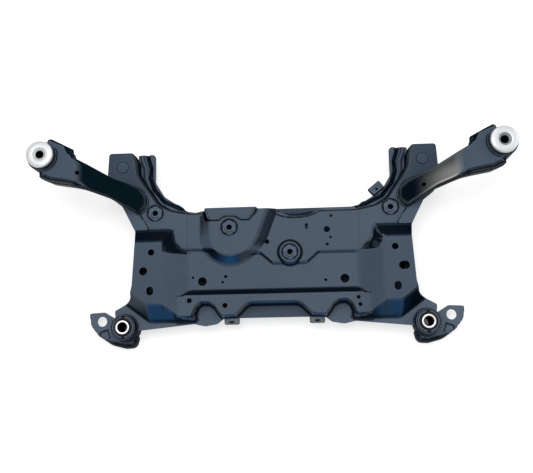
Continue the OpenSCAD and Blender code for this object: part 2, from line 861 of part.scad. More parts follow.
module tray_clip(s) {
    z = tray_flange_z;
    t = 1.2;
    color("silver")
    translate([s * 84, 0, 0])
    difference() {
        union() {
            translate([-13, -159.4, z - tray_t - t - 0.1])
            cube([26, 11, tray_t + 2 * t + 0.2]);
            translate([0, -153, z - tray_t - 9])
            cylinder(r = 5, h = 9);
        }
        translate([-14, -158.1, z - tray_t - 0.1])
        cube([28, 20, tray_t + 0.2]);
        translate([0, -153, 0])
        cylinder(r = 2.6, h = 100);
    }
}

module left_tray_clip() {
    tray_clip(-1);
}

module right_tray_clip() {
    tray_clip(1);
}

module hose_bracket() {
    z = tray_flange_z;
    color("dimgray")
    difference() {
        union() {
            plate([[193, 104, 3], [217, 121, 3], [227, 106, 3], [208, 90, 3]], 0, z, z + 2.4);
            plate([[192, 103, 1], [194, 105, 1], [207, 87.5, 1], [205, 86, 1]], 0.01, z, z + 8);
        }
        hole(210, 104, 4);
    }
}

upper_panel();
left_upper_side();
right_upper_side();
left_skirt();
right_skirt();
lower_panel();
left_ear_base();
right_ear_base();
left_side_wall();
right_side_wall();
front_step();
left_arm_channel();
right_arm_channel();
left_arm_cover();
right_arm_cover();
left_front_tube();
right_front_tube();
left_front_rubber();
right_front_rubber();
left_front_collar();
right_front_collar();
left_rear_tube();
right_rear_tube();
left_rear_rubber();
right_rear_rubber();
left_rear_sleeve();
right_rear_sleeve();
left_rear_bracket();
right_rear_bracket();
left_bar_nut();
right_bar_nut();
rack_nut();
centre_nut();
left_pivot_nut();
right_pivot_nut();
left_tray_clip();
right_tray_clip();
hose_bracket();
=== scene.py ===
import json
import math

import bpy
import numpy as np
from mathutils import Matrix, Vector, geometry

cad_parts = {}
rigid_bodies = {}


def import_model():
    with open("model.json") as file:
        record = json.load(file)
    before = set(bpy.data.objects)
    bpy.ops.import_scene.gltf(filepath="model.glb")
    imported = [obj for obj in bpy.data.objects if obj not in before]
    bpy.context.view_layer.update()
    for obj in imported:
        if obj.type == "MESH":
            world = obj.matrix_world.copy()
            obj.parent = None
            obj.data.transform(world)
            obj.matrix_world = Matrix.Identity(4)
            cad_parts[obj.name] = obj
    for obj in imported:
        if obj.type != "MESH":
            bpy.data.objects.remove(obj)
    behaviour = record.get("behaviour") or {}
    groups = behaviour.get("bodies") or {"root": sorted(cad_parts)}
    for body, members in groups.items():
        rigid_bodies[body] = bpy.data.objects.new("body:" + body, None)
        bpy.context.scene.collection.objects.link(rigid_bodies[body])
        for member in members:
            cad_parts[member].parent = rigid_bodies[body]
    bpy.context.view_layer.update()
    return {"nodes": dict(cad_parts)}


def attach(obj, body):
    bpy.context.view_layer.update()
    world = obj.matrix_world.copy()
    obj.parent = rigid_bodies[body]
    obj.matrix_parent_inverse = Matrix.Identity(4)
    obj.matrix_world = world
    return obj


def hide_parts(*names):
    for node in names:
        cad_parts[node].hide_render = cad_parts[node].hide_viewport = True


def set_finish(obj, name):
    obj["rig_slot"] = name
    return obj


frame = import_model()
nodes = frame["nodes"]
print("frame loaded,", len(nodes), "nodes")

mm = 0.001  # the shapes below are worked out in millimetres, as in the part's source
fullTurn = 2 * math.pi


# smooth step: 0 below 0, 1 above 1, and three squares less two cubes between
def ramp(u):
    c = np.clip(u, 0, 1)
    return c * c * (3 - 2 * c)


# lower of two surfaces, their crossing rounded over a height k
def softMin(a, b, k):
    h = np.maximum(k - np.abs(a - b), 0) / k
    return np.minimum(a, b) - h * h * k / 4


# upper of two surfaces, rounded in the same way
def softMax(a, b, k):
    return -softMin(-np.asarray(a), -np.asarray(b), k)


# straight slope from 0 to 1 with short rounded ends
def softStep(u):
    rounding = 0.15
    return softMin(softMax(u, np.zeros(np.shape(u)), rounding), np.ones(np.shape(u)), rounding)


def line(*points):
    return np.array(points, float)


# closed outline of (x, y, corner radius), each corner an arc tangent to its two sides
def roundOff(corners, step=2.5):
    pts = np.array(corners, float)
    arcs = []
    for a, b, c in zip(np.roll(pts, 1, 0), pts, np.roll(pts, -1, 0)):
        radius = b[2]
        u = (a - b)[:2] / np.linalg.norm((a - b)[:2])
        v = (c - b)[:2] / np.linalg.norm((c - b)[:2])
        half = math.acos(np.clip(u @ v, -1, 1)) / 2
        middle = b[:2] + (u + v) / np.linalg.norm(u + v) * radius / math.sin(half)
        p = b[:2] + u * radius / math.tan(half) - middle
        q = b[:2] + v * radius / math.tan(half) - middle
        start = math.atan2(p[1], p[0])
        turn = (math.atan2(q[1], q[0]) - start + math.pi) % fullTurn - math.pi
        t = start + turn * np.linspace(0, 1, max(3, int(abs(turn) * radius / 1.2)))
        arcs.append(middle + radius * np.c_[np.cos(t), np.sin(t)])
    return evenly(np.vstack(arcs), step)


# extra points so that no side of a closed outline is longer than step
def evenly(ring, step):
    nxt = np.roll(ring, -1, 0)
    n = np.maximum(1, np.ceil(np.linalg.norm(nxt - ring, axis=1) / step)).astype(int)
    at = np.concatenate([np.arange(k) / k for k in n])
    return np.repeat(ring, n, 0) + at[:, None] * np.repeat(nxt - ring, n, 0)


# corners of the other half, in the order that carries the outline on
def flipped(half):
    return [(-x, y, r) for x, y, r in reversed(half)]


# inside by counting the sides that are crossed towards the right
def insideOf(x, y, ring):
    hit = np.zeros(x.shape, bool)
    for (ax, ay), (bx, by) in zip(ring, np.roll(ring, -1, 0)):
        if ay != by:
            hit ^= ((ay > y) != (by > y)) & (x < (bx - ax) * (y - ay) / (by - ay) + ax)
    return hit


# least distance over the line's sides
def lineDistance(x, y, path, closed=False):
    d = np.full(x.shape, 1e9)
    ends = np.roll(path, -1, 0) if closed else path[1:]
    for (ax, ay), (bx, by) in zip(path, ends):
        ux, uy = bx - ax, by - ay
        k = np.clip(((x - ax) * ux + (y - ay) * uy) / max(ux * ux + uy * uy, 1e-9), 0, 1)
        d = np.minimum(d, np.hypot(x - ax - ux * k, y - ay - uy * k))
    return d


# distance from a closed shape's edge, positive inside
def signedDistance(x, y, ring):
    return np.where(insideOf(x, y, ring), 1, -1) * lineDistance(x, y, ring, True)


# distance from an edge that is only part of a ring, negative just outside the ring
def edgeDistance(x, y, edge, ring):
    d = lineDistance(x, y, edge)
    return np.where(insideOf(x, y, ring) | (d > 2), d, -d)


# 1 on a line, less by the smooth step of core minus the distance in widths
def stripe(x, y, path, core, width, closed=False):
    return ramp(core - lineDistance(x, y, path, closed) / width)


# 1 inside a closed shape, from a little outside its edge, by a smooth step over blur
def patch(x, y, ring, outside, blur):
    return ramp((signedDistance(x, y, ring) + outside) / blur)


# circle, or stadium with its straight part along x or y
def holeRing(x, y, r, longX=0, longY=0):
    t = np.linspace(0, fullTurn, max(14, int(r * 5)), endpoint=False)
    c, s = np.cos(t), np.sin(t)
    return np.c_[x + r * c + np.sign(c) * longX / 2, y + r * s + np.sign(s) * longY / 2]


# outline less a second closed shape that crosses its edge: the outside points and the shape's inner stretch
def bitten(outline, bite):
    out = outline[~insideOf(*outline.T, bite)]
    gap = np.linalg.norm(np.roll(out, -1, 0) - out, axis=1).argmax()
    cut = bite[insideOf(*bite.T, outline)]
    jump = np.linalg.norm(np.roll(cut, -1, 0) - cut, axis=1).argmax()
    cut = np.roll(cut, -(jump + 1), 0)
    if np.linalg.norm(cut[0] - out[gap]) > np.linalg.norm(cut[-1] - out[gap]):
        cut = cut[::-1]
    return np.vstack([out[:gap + 1], cut, out[gap + 1:]])


# even points along a line, their distances from its start and their directions
def walked(path, step, more=0, least=2):
    cut = np.r_[0, np.cumsum(np.linalg.norm(np.diff(path, axis=0), axis=1))]
    s = np.linspace(0, cut[-1], max(least, int(cut[-1] / step) + more))
    q = np.column_stack([np.interp(s, cut, c) for c in path.T])
    u = np.gradient(q, axis=0)
    return s, q, u / np.linalg.norm(u, axis=1)[:, None]


# rows of points beside a line, one for each offset to its left, less those that an inner bend folds over
def guideRows(path, offsets, step=2.0):
    _, q, u = walked(path, step, 1)
    rows = np.vstack([q + o * np.c_[-u[:, 1], u[:, 0]] for o in offsets])
    return rows[lineDistance(*rows.T, path) > np.abs(np.repeat(offsets, len(q))) - 0.3]


# grid inside an outline: each point where the height bends or the painted shading changes, elsewhere one in a
# few rows
def planGrid(outline, heightOf, shading, fine, coarse):
    lo, hi = outline.min(0), outline.max(0)
    nx, ny = np.ceil((hi - lo) / fine).astype(int) + 1
    i, j = np.meshgrid(np.arange(nx), np.arange(ny))
    x, y = (lo[0] + i * fine).ravel(), (lo[1] + j * fine).ravel()
    inside = insideOf(x, y, outline)
    x, y, i, j = x[inside], y[inside], i.ravel()[inside], j.ravel()[inside]
    w = 3
    bend = np.abs(heightOf(x + w, y) + heightOf(x - w, y) + heightOf(x, y + w) + heightOf(x, y - w)
                  - 4 * heightOf(x, y))
    skip = max(1, int(round(coarse / fine)))
    keep = (bend > 0.05) | ((i % skip == 0) & (j % skip == 0))
    if shading:
        w = 2
        change = np.abs(shading(x + w, y) - shading(x - w, y)) + np.abs(shading(x, y + w) - shading(x, y - w))
        keep |= change > 0.05
    keep &= lineDistance(x, y, outline, True) > 0.6 * fine
    return np.c_[x, y][keep]


# triangles over all points with the rings as fixed sides, less those outside the first ring or in the others
def triangulated(rings, inner):
    starts = np.cumsum([0] + [len(r) for r in rings])
    sides = [np.c_[np.arange(a, b), np.r_[np.arange(a + 1, b), a]] for a, b in zip(starts, starts[1:])]
    flat, _, tris, *_ = geometry.delaunay_2d_cdt(np.vstack(rings + inner).tolist(), np.vstack(sides).tolist(),
                                                 [], 0, 1e-5)
    flat, tris = np.array(flat), np.array(tris)
    cx, cy = flat[tris].mean(1).T
    good = insideOf(cx, cy, rings[0])
    for ring in rings[1:]:
        good &= ~insideOf(cx, cy, ring)
    tris = tris[good]
    e1, e2 = flat[tris[:, 1]] - flat[tris[:, 0]], flat[tris[:, 2]] - flat[tris[:, 0]]
    turn = e1[:, 0] * e2[:, 1] - e1[:, 1] * e2[:, 0]
    tris = np.where((turn > 0)[:, None], tris, tris[:, ::-1])
    used, tris = np.unique(tris, return_inverse=True)
    return flat[used], tris.reshape(-1, 3)


# sheet of metal: z = heightOf(x, y) over the plan inside the outline and outside the holes, thick along its
# normal, with rows of points along the guides and round each hole
def pressSheet(outline, holes, heightOf, thick, fine=2.0, coarse=6.0, shading=None, guides=()):
    grid = planGrid(outline, heightOf, shading, fine, coarse)
    rows, collars, rings = [], [], [outline]
    for path, offsets in guides:
        grid = grid[lineDistance(*grid.T, path) > max(offsets) + 0.8]
        row = guideRows(path, offsets)
        rows.append(row[lineDistance(*row.T, outline, True) > 0.5 * fine])
    for hole in holes:
        x, y, r, *stretch = hole
        ring = holeRing(*hole)
        middle = ring.mean(0)
        rings.append(ring)
        collars += [middle + (ring - middle) * (1 + grow / r) for grow in (0.5, 1.1, 1.9)]
        wide = holeRing(x, y, r + 2.4, *stretch)
        grid, *rows = [p[~insideOf(*p.T, wide)] for p in [grid] + rows]
    inner = [p[insideOf(*p.T, outline)] for p in rows + collars]
    flat, tris = triangulated(rings, inner + [grid])
    part = finishSheet(*flat.T, tris, heightOf, thick)
    # painted shade and highlights are added to the painted light of the top skin
    if shading:
        part[2][:len(flat)] += shading(*flat.T)
    return part


# upper skin, lower skin set back along the normal, and a rim wherever a side belongs to one triangle; the
# painted light, a painted highlight on ridges and painted shade in creases, is how far a point stands above
# the mean height of its neighbours
def finishSheet(x, y, tris, heightOf, thick):
    d = 0.7
    n = np.c_[heightOf(x - d, y) - heightOf(x + d, y), heightOf(x, y - d) - heightOf(x, y + d),
              np.full(x.shape, 2 * d)]
    n /= np.linalg.norm(n, axis=1)[:, None]
    z = heightOf(x, y)
    w = 2.5
    curve = (4 * z - heightOf(x + w, y) - heightOf(x - w, y) - heightOf(x, y + w) - heightOf(x, y - w)) / w
    top = np.c_[x, y, z]
    count = len(x)
    one = np.vstack([tris[:, [0, 1]], tris[:, [1, 2]], tris[:, [2, 0]]])
    code, back = one[:, 0] * count + one[:, 1], one[:, 1] * count + one[:, 0]
    rim = one[~np.isin(code, back)]
    quads = np.c_[rim[:, 1], rim[:, 0], rim[:, 0] + count, rim[:, 1] + count]
    paintedLight = np.r_[np.clip(curve, -1, 1), np.zeros(count)]
    return np.vstack([top, top - thick * n]), [tris, tris[:, ::-1] + count, quads], paintedLight


# points that coincide become one; a face that loses a corner is a triangle, and one that loses two goes
def welded(verts, quads):
    _, first, same = np.unique(verts, axis=0, return_index=True, return_inverse=True)
    quads = same.reshape(-1)[quads]
    lost = quads == np.roll(quads, -1, 1)
    three = lost.sum(1) == 1
    faces = [quads[~lost.any(1)], quads[three][~lost[three]].reshape(-1, 3)]
    return verts[first], faces, np.zeros(len(first))


# two nets of points, front and back of a thin wall, with a rim along the four borders
def netShell(a, b):
    m, n = a.shape[:2]
    i, j = np.meshgrid(np.arange(m - 1), np.arange(n - 1), indexing="ij")
    k = (i * n + j).ravel()
    quads = np.c_[k, k + 1, k + n + 1, k + n]
    edge = np.r_[np.arange(n), np.arange(1, m) * n + n - 1, (m - 1) * n + np.arange(n - 2, -1, -1),
                 np.arange(m - 2, 0, -1) * n]
    nxt = np.roll(edge, -1)
    rim = np.c_[nxt, edge, edge + m * n, nxt + m * n]
    verts = np.vstack([a.reshape(-1, 3), b.reshape(-1, 3)])
    return welded(verts, np.vstack([quads, quads[:, ::-1] + m * n, rim]))


# profile of (radius, z) turned about a vertical line and closed on itself; a ring of radius 0 is one point
def turned(x, y, profile, around=72, warp=None):
    p = np.array(profile, float)
    r, a = np.meshgrid(p[:, 0], np.linspace(0, fullTurn, around, endpoint=False), indexing="ij")
    z = np.repeat(p[:, 1][:, None], around, 1)
    if warp:
        z = warp(r, a, z)
    verts = np.c_[(x + r * np.cos(a)).ravel(), (y + r * np.sin(a)).ravel(), z.ravel()]
    ring = np.arange(len(verts)).reshape(len(p), around)
    after = np.roll(ring, -1, 0)
    quads = np.dstack([ring, np.roll(ring, -1, 1), np.roll(after, -1, 1), after])
    return welded(verts, quads.reshape(-1, 4))


# weld bead: a half-sunk tube along a path, its radius rippled along the length and drawn in at both ends,
# with a slight painted highlight
def weldBead(path, r=2.6, ripple=2.2, sides=12):
    s, q, u = walked(np.array(path, float), 0.8, least=8)
    across = np.cross(u, [0, 0, 1.0])
    across /= np.maximum(np.linalg.norm(across, axis=1)[:, None], 1e-6)
    up = np.cross(across, u)
    taper = np.sqrt(np.clip(np.minimum(s, s[-1] - s) / 3, 0.02, 1))
    rad = r * taper * (1 + 0.14 * np.cos(fullTurn * s / ripple) + 0.06 * np.sin(s * 0.9))
    t = np.linspace(0, fullTurn, sides, endpoint=False)[:, None]
    verts = q[:, None] + rad[:, None, None] * (across[:, None] * np.cos(t) + up[:, None] * np.sin(t))
    ring = np.arange(len(s) * sides).reshape(len(s), sides)
    turn = np.roll(ring, -1, 1)
    quads = np.dstack([ring[:-1], ring[1:], turn[1:], turn[:-1]]).reshape(-1, 4)
    return verts.reshape(-1, 3), [quads, np.array([ring[0], ring[-1, ::-1]])], np.full(len(s) * sides, 0.15)


# weld bead round part of a mount's tube, between two angles in degrees
def tubeWeld(mount, away, z, start, end, count, r):
    t = np.linspace(math.radians(start), math.radians(end), count)
    ring = mount["tubeR"] + away
    return weldBead(np.c_[mount["x"] + ring * np.cos(t), mount["y"] + ring * np.sin(t), np.full(count, z)], r)


# parts, each of points, arrays of faces and painted light (highlight and shade), in one smooth object that
# keeps its sharp bends
def joined(name, *parts):
    faces, start = [], 0
    for verts, polys, _ in parts:
        for rows in polys:
            faces += (rows + start).tolist()
        start += len(verts)
    mesh = bpy.data.meshes.new(name)
    mesh.from_pydata((np.vstack([v for v, _, _ in parts]) * mm).tolist(), [], faces)
    paintedLight = np.concatenate([g for _, _, g in parts]).astype(np.float32)
    mesh.attributes.new("paintedLight", "FLOAT", "POINT").data.foreach_set("value", paintedLight)
    mesh.shade_smooth()
    mesh.set_sharp_from_angle(angle=math.radians(48))
    obj = bpy.data.objects.new(name, mesh)
    bpy.context.scene.collection.objects.link(obj)
    return obj


# a part is made for the right; on the left its x changes sign and its faces turn round
def sided(part, word):
    verts, polys, paintedLight = part
    if word == "right":
        return part
    return verts * [-1, 1, 1], [rows[:, ::-1] for rows in polys], paintedLight


# the piece rides on the one body, stands for its nodes and takes their finish
def settle(piece, slot, *stands):
    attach(piece, "root")
    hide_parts(*stands)
    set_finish(piece, slot)


rear = {"x": 298.5, "y": -162, "tubeR": 25, "boreR": 8.2}
front = {"x": 440, "y": 165.5, "tubeR": 29, "boreR": 7.2}

upper = {
    "thick": 2.8, "flangeZ": 38, "floorZ": 58, "stepH": 4, "plateZ": 84, "seatZ": 72, "bossH": 6,
    "ribY": -92.8, "ribH": 10, "ribRun": 10.5, "ribHalf": 165, "ribTail": 24, "dropRun": 7,
    "plateInX": 217, "plateTurnX": 246, "plateFrontY": 3.5, "wallFootY": 29, "plateRearY": -119,
    "creaseEndY": -146, "rearFootY": -151, "turnRun": 26,
    "seatR": 60, "seatRun": 20, "bossR": 20, "skirtIn": 0.8, "skirtRun": 7.5,
    "rack": (-85, 30.5), "centre": (34, -21), "bar": (235, 65), "pivot": (302.5, 162),
    "nutHoleR": 17.9, "bossHoleR": 17, "pivotHoleR": 12.1, "ringR": 19, "ringH": 0.5,
    "dimples": ((117, 50), (108, -7)), "dimpleR": 7, "dimpleH": 1.2,
}
frontZ = upper["floorZ"] + upper["stepH"]

restHalf = [(331, 192, 6), (333, 146, 20), (329, 102, 14), (303, 82, 14), (275, 29, 14), (271, 3.5, 14),
            (276, -84, 30), (282, -107, 16), (320, -128, 5), (317, -150, 4), (271, -168, 6), (160, -157, 10),
            (138, -162, 14), (114, -158, 10), (101, -148, 10), (60, -147, 6)]
skirtCorners = [(166, 67, 14), (206, 76, 14), (230, 91, 24), (269, 150, 24), (270, 174, 8), (280, 192, 8)]
panelCorners = flipped(skirtCorners) + skirtCorners + restHalf + flipped(restHalf)
windowRing = roundOff([(-140, 76, 2), (-26, 76, 2), (-32, 59, 5), (-45, 45, 6), (-62, 45, 5), (-74, 53, 6),
                       (-96, 53, 6), (-107, 45, 5), (-134, 45, 6)], 2)

# lines on the right half, from the middle outwards: foot of the skirt and of the drop to the rear flange
skirtLine = line((0, 67), (160, 67), (172, 67.8), (200, 74), (210, 78), (222, 85), (229, 91), (262, 139),
                 (267, 150), (270, 174), (278, 196))
dropLine = line((0, -123), (42, -123), (47, -124), (54, -128), (64, -138), (74, -147), (104, -149),
                (112, -139), (120, -127), (130, -121), (142, -121), (150, -128), (156, -144), (162, -149),
                (192, -149), (222, -118), (250, -60))
stepLine = line((-150, -10), (-40, -20), (-24, -20), (0, -41), (66, -41), (90, -20))
slopeFoot = line((-20, 166), (-18, 173), (3, 193.6), (27, 199))  # y, then x of the foot of the side slope


# distance from the middle of the rack seat, its right side drawn out towards the front
def seatReach(x, y):
    u = x - upper["rack"][0] - 1
    w = np.where(u < 0, u, np.maximum(u - 0.38 * np.maximum(0, y + 28), 0))
    return np.hypot(w, np.minimum(y - 16, 0))


# floor with its step, the rib with drawn-out ends, the drop to the rear flange, the rack seat and the boss
def panelFloor(x, y):
    p = upper
    ax = np.abs(x)
    floor = p["floorZ"] + p["stepH"] * ramp((y - np.interp(x, *stepLine.T) + 4) / 8)
    behind = np.clip(p["ribY"] - y, 0, 40)
    ribEnd = p["ribHalf"] + 1.3 * np.minimum(behind, p["ribRun"]) + p["ribTail"] * ramp((behind - 10) / 7)
    floor = floor + p["ribH"] * softStep((p["ribY"] - y) / p["ribRun"]) * ramp((ribEnd - ax) / 8 + 0.5)
    floor = floor - 0.7 * ramp((ax - 168) / 3) * ramp((y + 14) / 6)
    inDrop = np.sign(y - np.interp(ax, *dropLine.T)) * lineDistance(ax, y, dropLine)
    base = p["flangeZ"] + (floor - p["flangeZ"]) * ramp(inDrop / p["dropRun"])
    base = base + (p["seatZ"] - base) * softStep((p["seatR"] - seatReach(x, y)) / p["seatRun"])
    fromBoss = np.hypot(x - p["centre"][0], y - p["centre"][1])
    return softMax(base, frontZ + p["bossH"] - np.maximum(fromBoss - p["bossR"], 0) * 1.7, 2.5)


# side plate: the lowest of its top, front wall, inner slope, back slope and turned rear wall
def sidePlate(ax, y):
    p = upper
    top = p["plateZ"]
    foot = np.interp(y, *slopeFoot.T)
    wall = top - (y - p["plateFrontY"]) * (top - frontZ) / (p["wallFootY"] - p["plateFrontY"])
    inner = top + (ax - p["plateInX"]) * (top - p["floorZ"]) / (p["plateInX"] - foot)
    inside = np.clip(p["plateInX"] - ax, 0, 40)
    creaseY = np.maximum(p["plateRearY"] - inside * 0.72, p["creaseEndY"])
    creaseZ = top - inside * 0.51
    back = p["flangeZ"] + (y - p["rearFootY"]) / (creaseY - p["rearFootY"]) * (creaseZ - p["flangeZ"])
    past = (ax - p["plateTurnX"]) * 0.6 - (y - p["plateRearY"] + 1) * 0.8
    turnedWall = top - past * (top - p["flangeZ"]) / p["turnRun"]
    plate = softMin(softMin(softMin(wall, inner, 5), softMin(back, turnedWall, 6), 5), top, 5)
    return plate - 5 * np.maximum(foot - 8 - ax, 0)


# the higher of floor and side plates, with rings round the nuts and two dimples; the skirt drops from it
# to the flange
def upperHeight(x, y):
    p = upper
    ax = np.abs(x)
    base = panelFloor(x, y)
    base = np.where(ax > 130, softMax(base, sidePlate(ax, y), 6), base)
    for hx, hy in ((-p["bar"][0], p["bar"][1]), p["bar"], p["rack"]):
        base = base + p["ringH"] * ramp(1 - np.abs(np.hypot(x - hx, y - hy) - p["ringR"]) / 2.4)
    for hx, hy in p["dimples"]:
        base = base - p["dimpleH"] * ramp(1 - np.hypot(x - hx, y - hy) / p["dimpleR"])
    past = (lineDistance(ax, y, skirtLine) - p["skirtIn"]) / p["skirtRun"]
    atWindow = (x > -139) & (x < 12) & (y < 75)
    return np.where(atWindow, base, p["flangeZ"] + (base - p["flangeZ"]) * ramp(past))


# places of the painted shade, and on the right facet of painted light: the corner facets and the lines across
# them, the plates' front walls, the rib's front, the edges of the arms' feet and the front edge
facet = line((217, -17), (172, -17), (193.6, 3), (199, 27), (207, 27), (218.5, 5))
facetLines = [line((199, 15.5), (213, 1.5)), line((198.5, 0.5), (214, -8))]
wallFace = line((203, 31), (280, 31), (280, 2), (216, 2))
ribShade = line((162, -93.6), (171, -102.4), (-171, -102.4), (-162, -93.6))
footEdgeLine = line((265.6, 62.3), (247.3, 30.8))
frontLine = line((1, 60), (16, 52.6), (31, 49.3), (46, 48.4), (60, 49.3), (73, 51.6), (99, 60.8), (122, 62.2),
                 (160, 63), (180, 66))


# painted shade in the steep corner facets of the side plates, all dark on the left, on the right painted
# light crossed by darker bands; painted shade along the step window, on the rib's front, the sides of the
# rack seat, the front walls and edge, and along the edges of the arms' feet; a painted highlight along the
# right of the rack seat's outer edge
def upperShading(x, y):
    ax = np.abs(x)
    bands = 0.3 - 0.5 * sum(stripe(ax, y, c, 1.1, 2.6) for c in facetLines)
    bands = bands - 0.75 * ramp((197 - ax) / 5) * ramp((-1 - y) / 4)
    shading = patch(ax, y, facet, 2, 4.5) * np.where(x < 0, -1.0, bands)
    shading = shading - 1.2 * stripe(x, y, windowRing, 1.25, 2.2, True)
    shading = shading - 0.9 * patch(x, y, ribShade, 1.2, 2.4)
    reach = seatReach(x, y)
    left = x < upper["rack"][0]
    onSide = ramp((reach - np.where(left, 37, 33)) / 5) * ramp((62 - reach) / 5)
    shading = shading - onSide * np.where(left, 0.4 * ramp((y + 12) / 60), 0.5 * ramp((y + 18) / 20))
    shading = shading - 0.9 * patch(ax, y, wallFace, 2.5, 5)
    shading = shading + 0.4 * ramp(1 - np.abs(reach - 62.5) / 2.5) * ramp((x + 75) / 10) * ramp((y + 30) / 10)
    shading = shading - 1.1 * stripe(x, y, frontLine, 1.3, 1.8)
    return shading - stripe(ax, y, footEdgeLine, 1.2, 1.8)


sheetHoles = []
for s, oval in ((-1, (-253.5, -55, 8)), (1, (254, -55, 8, 5))):
    pairs = [upper["bar"] + (upper["nutHoleR"],), upper["pivot"] + (upper["pivotHoleR"],), (238, -18, 6.3)]
    sheetHoles += [(s * x, y, r) for x, y, r in pairs] + [oval, (s * 140.5, -75, 8.7)]
sheetHoles += [(s * 240, -94, 6.8, 0, 3.5) for s in (-1, 1)]
sheetHoles += [upper["rack"] + (upper["nutHoleR"],), upper["centre"] + (upper["bossHoleR"],)]
sheetHoles += [(-159, -67, 2.6), (-94, -66, 3.3), (-100, -77, 2.7), (-11, 1, 4.8), (-165, -113, 5),
               (-95, -124, 5), (165, -113, 4), (168, -127, 4), (108, 23, 6.3), (117, 50, 2.6), (115, 7, 2.7),
               (108, -7, 3), (103, -77, 2.9), (68, 30, 3, 0, 6)]

panelOutline = roundOff(panelCorners)
tubeRings = [holeRing(s * rear["x"], rear["y"], rear["tubeR"]) for s in (-1, 1)]
for bite in [windowRing, holeRing(52, 112, 62)] + tubeRings:
    panelOutline = bitten(panelOutline, bite)
skirtRows, facetRows = np.arange(1.2, 10, 1.2), np.arange(-4.8, 5, 1.2)
dropRows = np.r_[-4, -2, np.arange(0, 9, 1.2)]
wallGuides = [(skirtLine[::-1], skirtRows), (skirtLine * [-1, 1], skirtRows),
              (np.vstack([dropLine[:-2][::-1] * [-1, 1], dropLine[1:-2]]), dropRows)]
wallGuides += [(facet[1:4] * [s, 1], facetRows) for s in (-1, 1)]
upperSheet = pressSheet(panelOutline, sheetHoles, upperHeight, upper["thick"], shading=upperShading,
                        guides=wallGuides)
upperPanel = joined("upperPanel", upperSheet)
settle(upperPanel, "ecoat", "upper_panel", "left_upper_side", "right_upper_side", "left_skirt", "right_skirt")
print("upper panel pressed,", len(upperPanel.data.polygons), "faces")


lower = {
    "thick": 2.8, "flangeZ": 35.2, "wallRun": 9, "stepTop": 64.6, "stepRun": 6,
    "valleyH": 5.5, "valleyR": 5.5, "ridgeH": 1.2, "beadH": 6, "beadR": 13, "beadRun": 4,
    "beads": ((-150, -40, 60), (150, -40, 60), (0, 10, 150), (0, -90, 190)),  # x, y, straight length
    "wallIn": (2, 4.8), "wallFootZ": 34, "wallInX": 250, "wallY": (-98, 84), "wallRows": 12,
}
roundFront = [(146, 72, 10), (157, 69, 14), (174, 72.5, 14)]
straightFront = [(147, 73, 2), (159, 73, 10), (175, 76, 14)]
legCorners = [(221, 104, 18), (239.5, 134, 14), (239.5, 195, 8), (331, 191, 6)] + restHalf[1:14]
legCorners += [(101, -148, 4), (95, -148, 1), (95, -158, 2), (73, -158, 2), (73, -147.4, 1), (60, -147, 6)]
trayCorners = [(150, 56, 20), (205, 65, 20), (235, 86, 24), (274, 146, 24), (276, 240, 4), (390, 240, 8),
               (390, 112, 8), (324, 104, 12), (298, 86, 14), (269, 33, 14), (265, 3, 14), (271, -84, 30),
               (266, -112, 20), (250, -138, 16), (160, -136, 12)]
trayRing = roundOff(trayCorners + flipped(trayCorners), 8)
stepRing = roundOff([(-141, 77, 6), (-25, 77, 6), (-32, 57, 6), (-42, 43, 6), (-124, 43, 6),
                     (-134, 48, 6)], 4)
valleyLine = line((257, 200), (255, 185), (249, 166), (250, 144), (242, 119), (222, 94), (189, 78.5),
                  (170, 74))
ridgeLine = line((269, 200), (267, 184), (260, 166), (259.5, 146), (250, 120))
reliefLine = line((12, 63), (34, 58.8), (57, 59.3), (84, 63.6))


# flange that falls to the tray floor inside the tray line; raised front step with a groove; stadium beads
# pressed up from the floor; valley and ridge along the legs
def lowerHeight(x, y):
    p = lower
    z = p["flangeZ"] - (p["flangeZ"] - p["thick"]) * ramp(signedDistance(x, y, trayRing) / p["wallRun"])
    into = signedDistance(x, y, stepRing)
    onStep = ramp((into + 1) / p["stepRun"])
    z = z + (p["stepTop"] - z) * onStep
    z = z - 0.8 * ramp(1 - np.abs(into - 8) / 1.6)
    for bx, by, long in p["beads"]:
        d = np.hypot(np.maximum(np.abs(x - bx) - long / 2, 0), y - by)
        z = z + p["beadH"] * ramp((p["beadR"] - d) / p["beadRun"])
    z = z - 3.5 * stripe(x, y, windowRing, 1, 2.2, True) * onStep
    ax = np.abs(x)
    z = z - p["valleyH"] * stripe(ax, y, valleyLine, 1, p["valleyR"])
    return z + p["ridgeH"] * stripe(ax, y, ridgeLine, 1, p["valleyR"])


# painted shade in the relief of the front edge, under the round bite in the upper panel's front, round the
# step window and along the legs
def lowerShading(x, y):
    shading = -0.9 * stripe(x, y, reliefLine, 1.4, 2.2) - 0.25 * ramp((64 - np.hypot(x - 52, y - 112)) / 3)
    shading = shading - stripe(x, y, windowRing, 1.3, 2.4, True)
    return shading - 0.42 * stripe(np.abs(x), y, ridgeLine, 1.2, 9)


# strip along the panel's side, straight up from the lower flange to the underside of the upper panel
def sideWall():
    p = lower
    ring = roundOff(panelCorners)
    u = np.roll(ring, -1, 0) - np.roll(ring, 1, 0)
    inward = np.c_[u[:, 1], -u[:, 0]] / np.linalg.norm(u, axis=1)[:, None]
    inward *= np.sign(((-ring) * inward).sum(1))[:, None]
    pick = (ring[:, 0] > p["wallInX"]) & (ring[:, 1] > p["wallY"][0]) & (ring[:, 1] < p["wallY"][1])
    rise = np.linspace(0, 1, p["wallRows"])[None, :]
    nets = []
    for depth in p["wallIn"]:
        x, y = (ring + inward * depth)[pick].T
        top = upperHeight(x, y) - upper["thick"] * 1.1
        z = p["wallFootZ"] + (top[:, None] - p["wallFootZ"]) * rise
        nets.append(np.dstack([np.repeat(c[:, None], p["wallRows"], 1) for c in (x, y)] + [z]))
    return netShell(*nets)


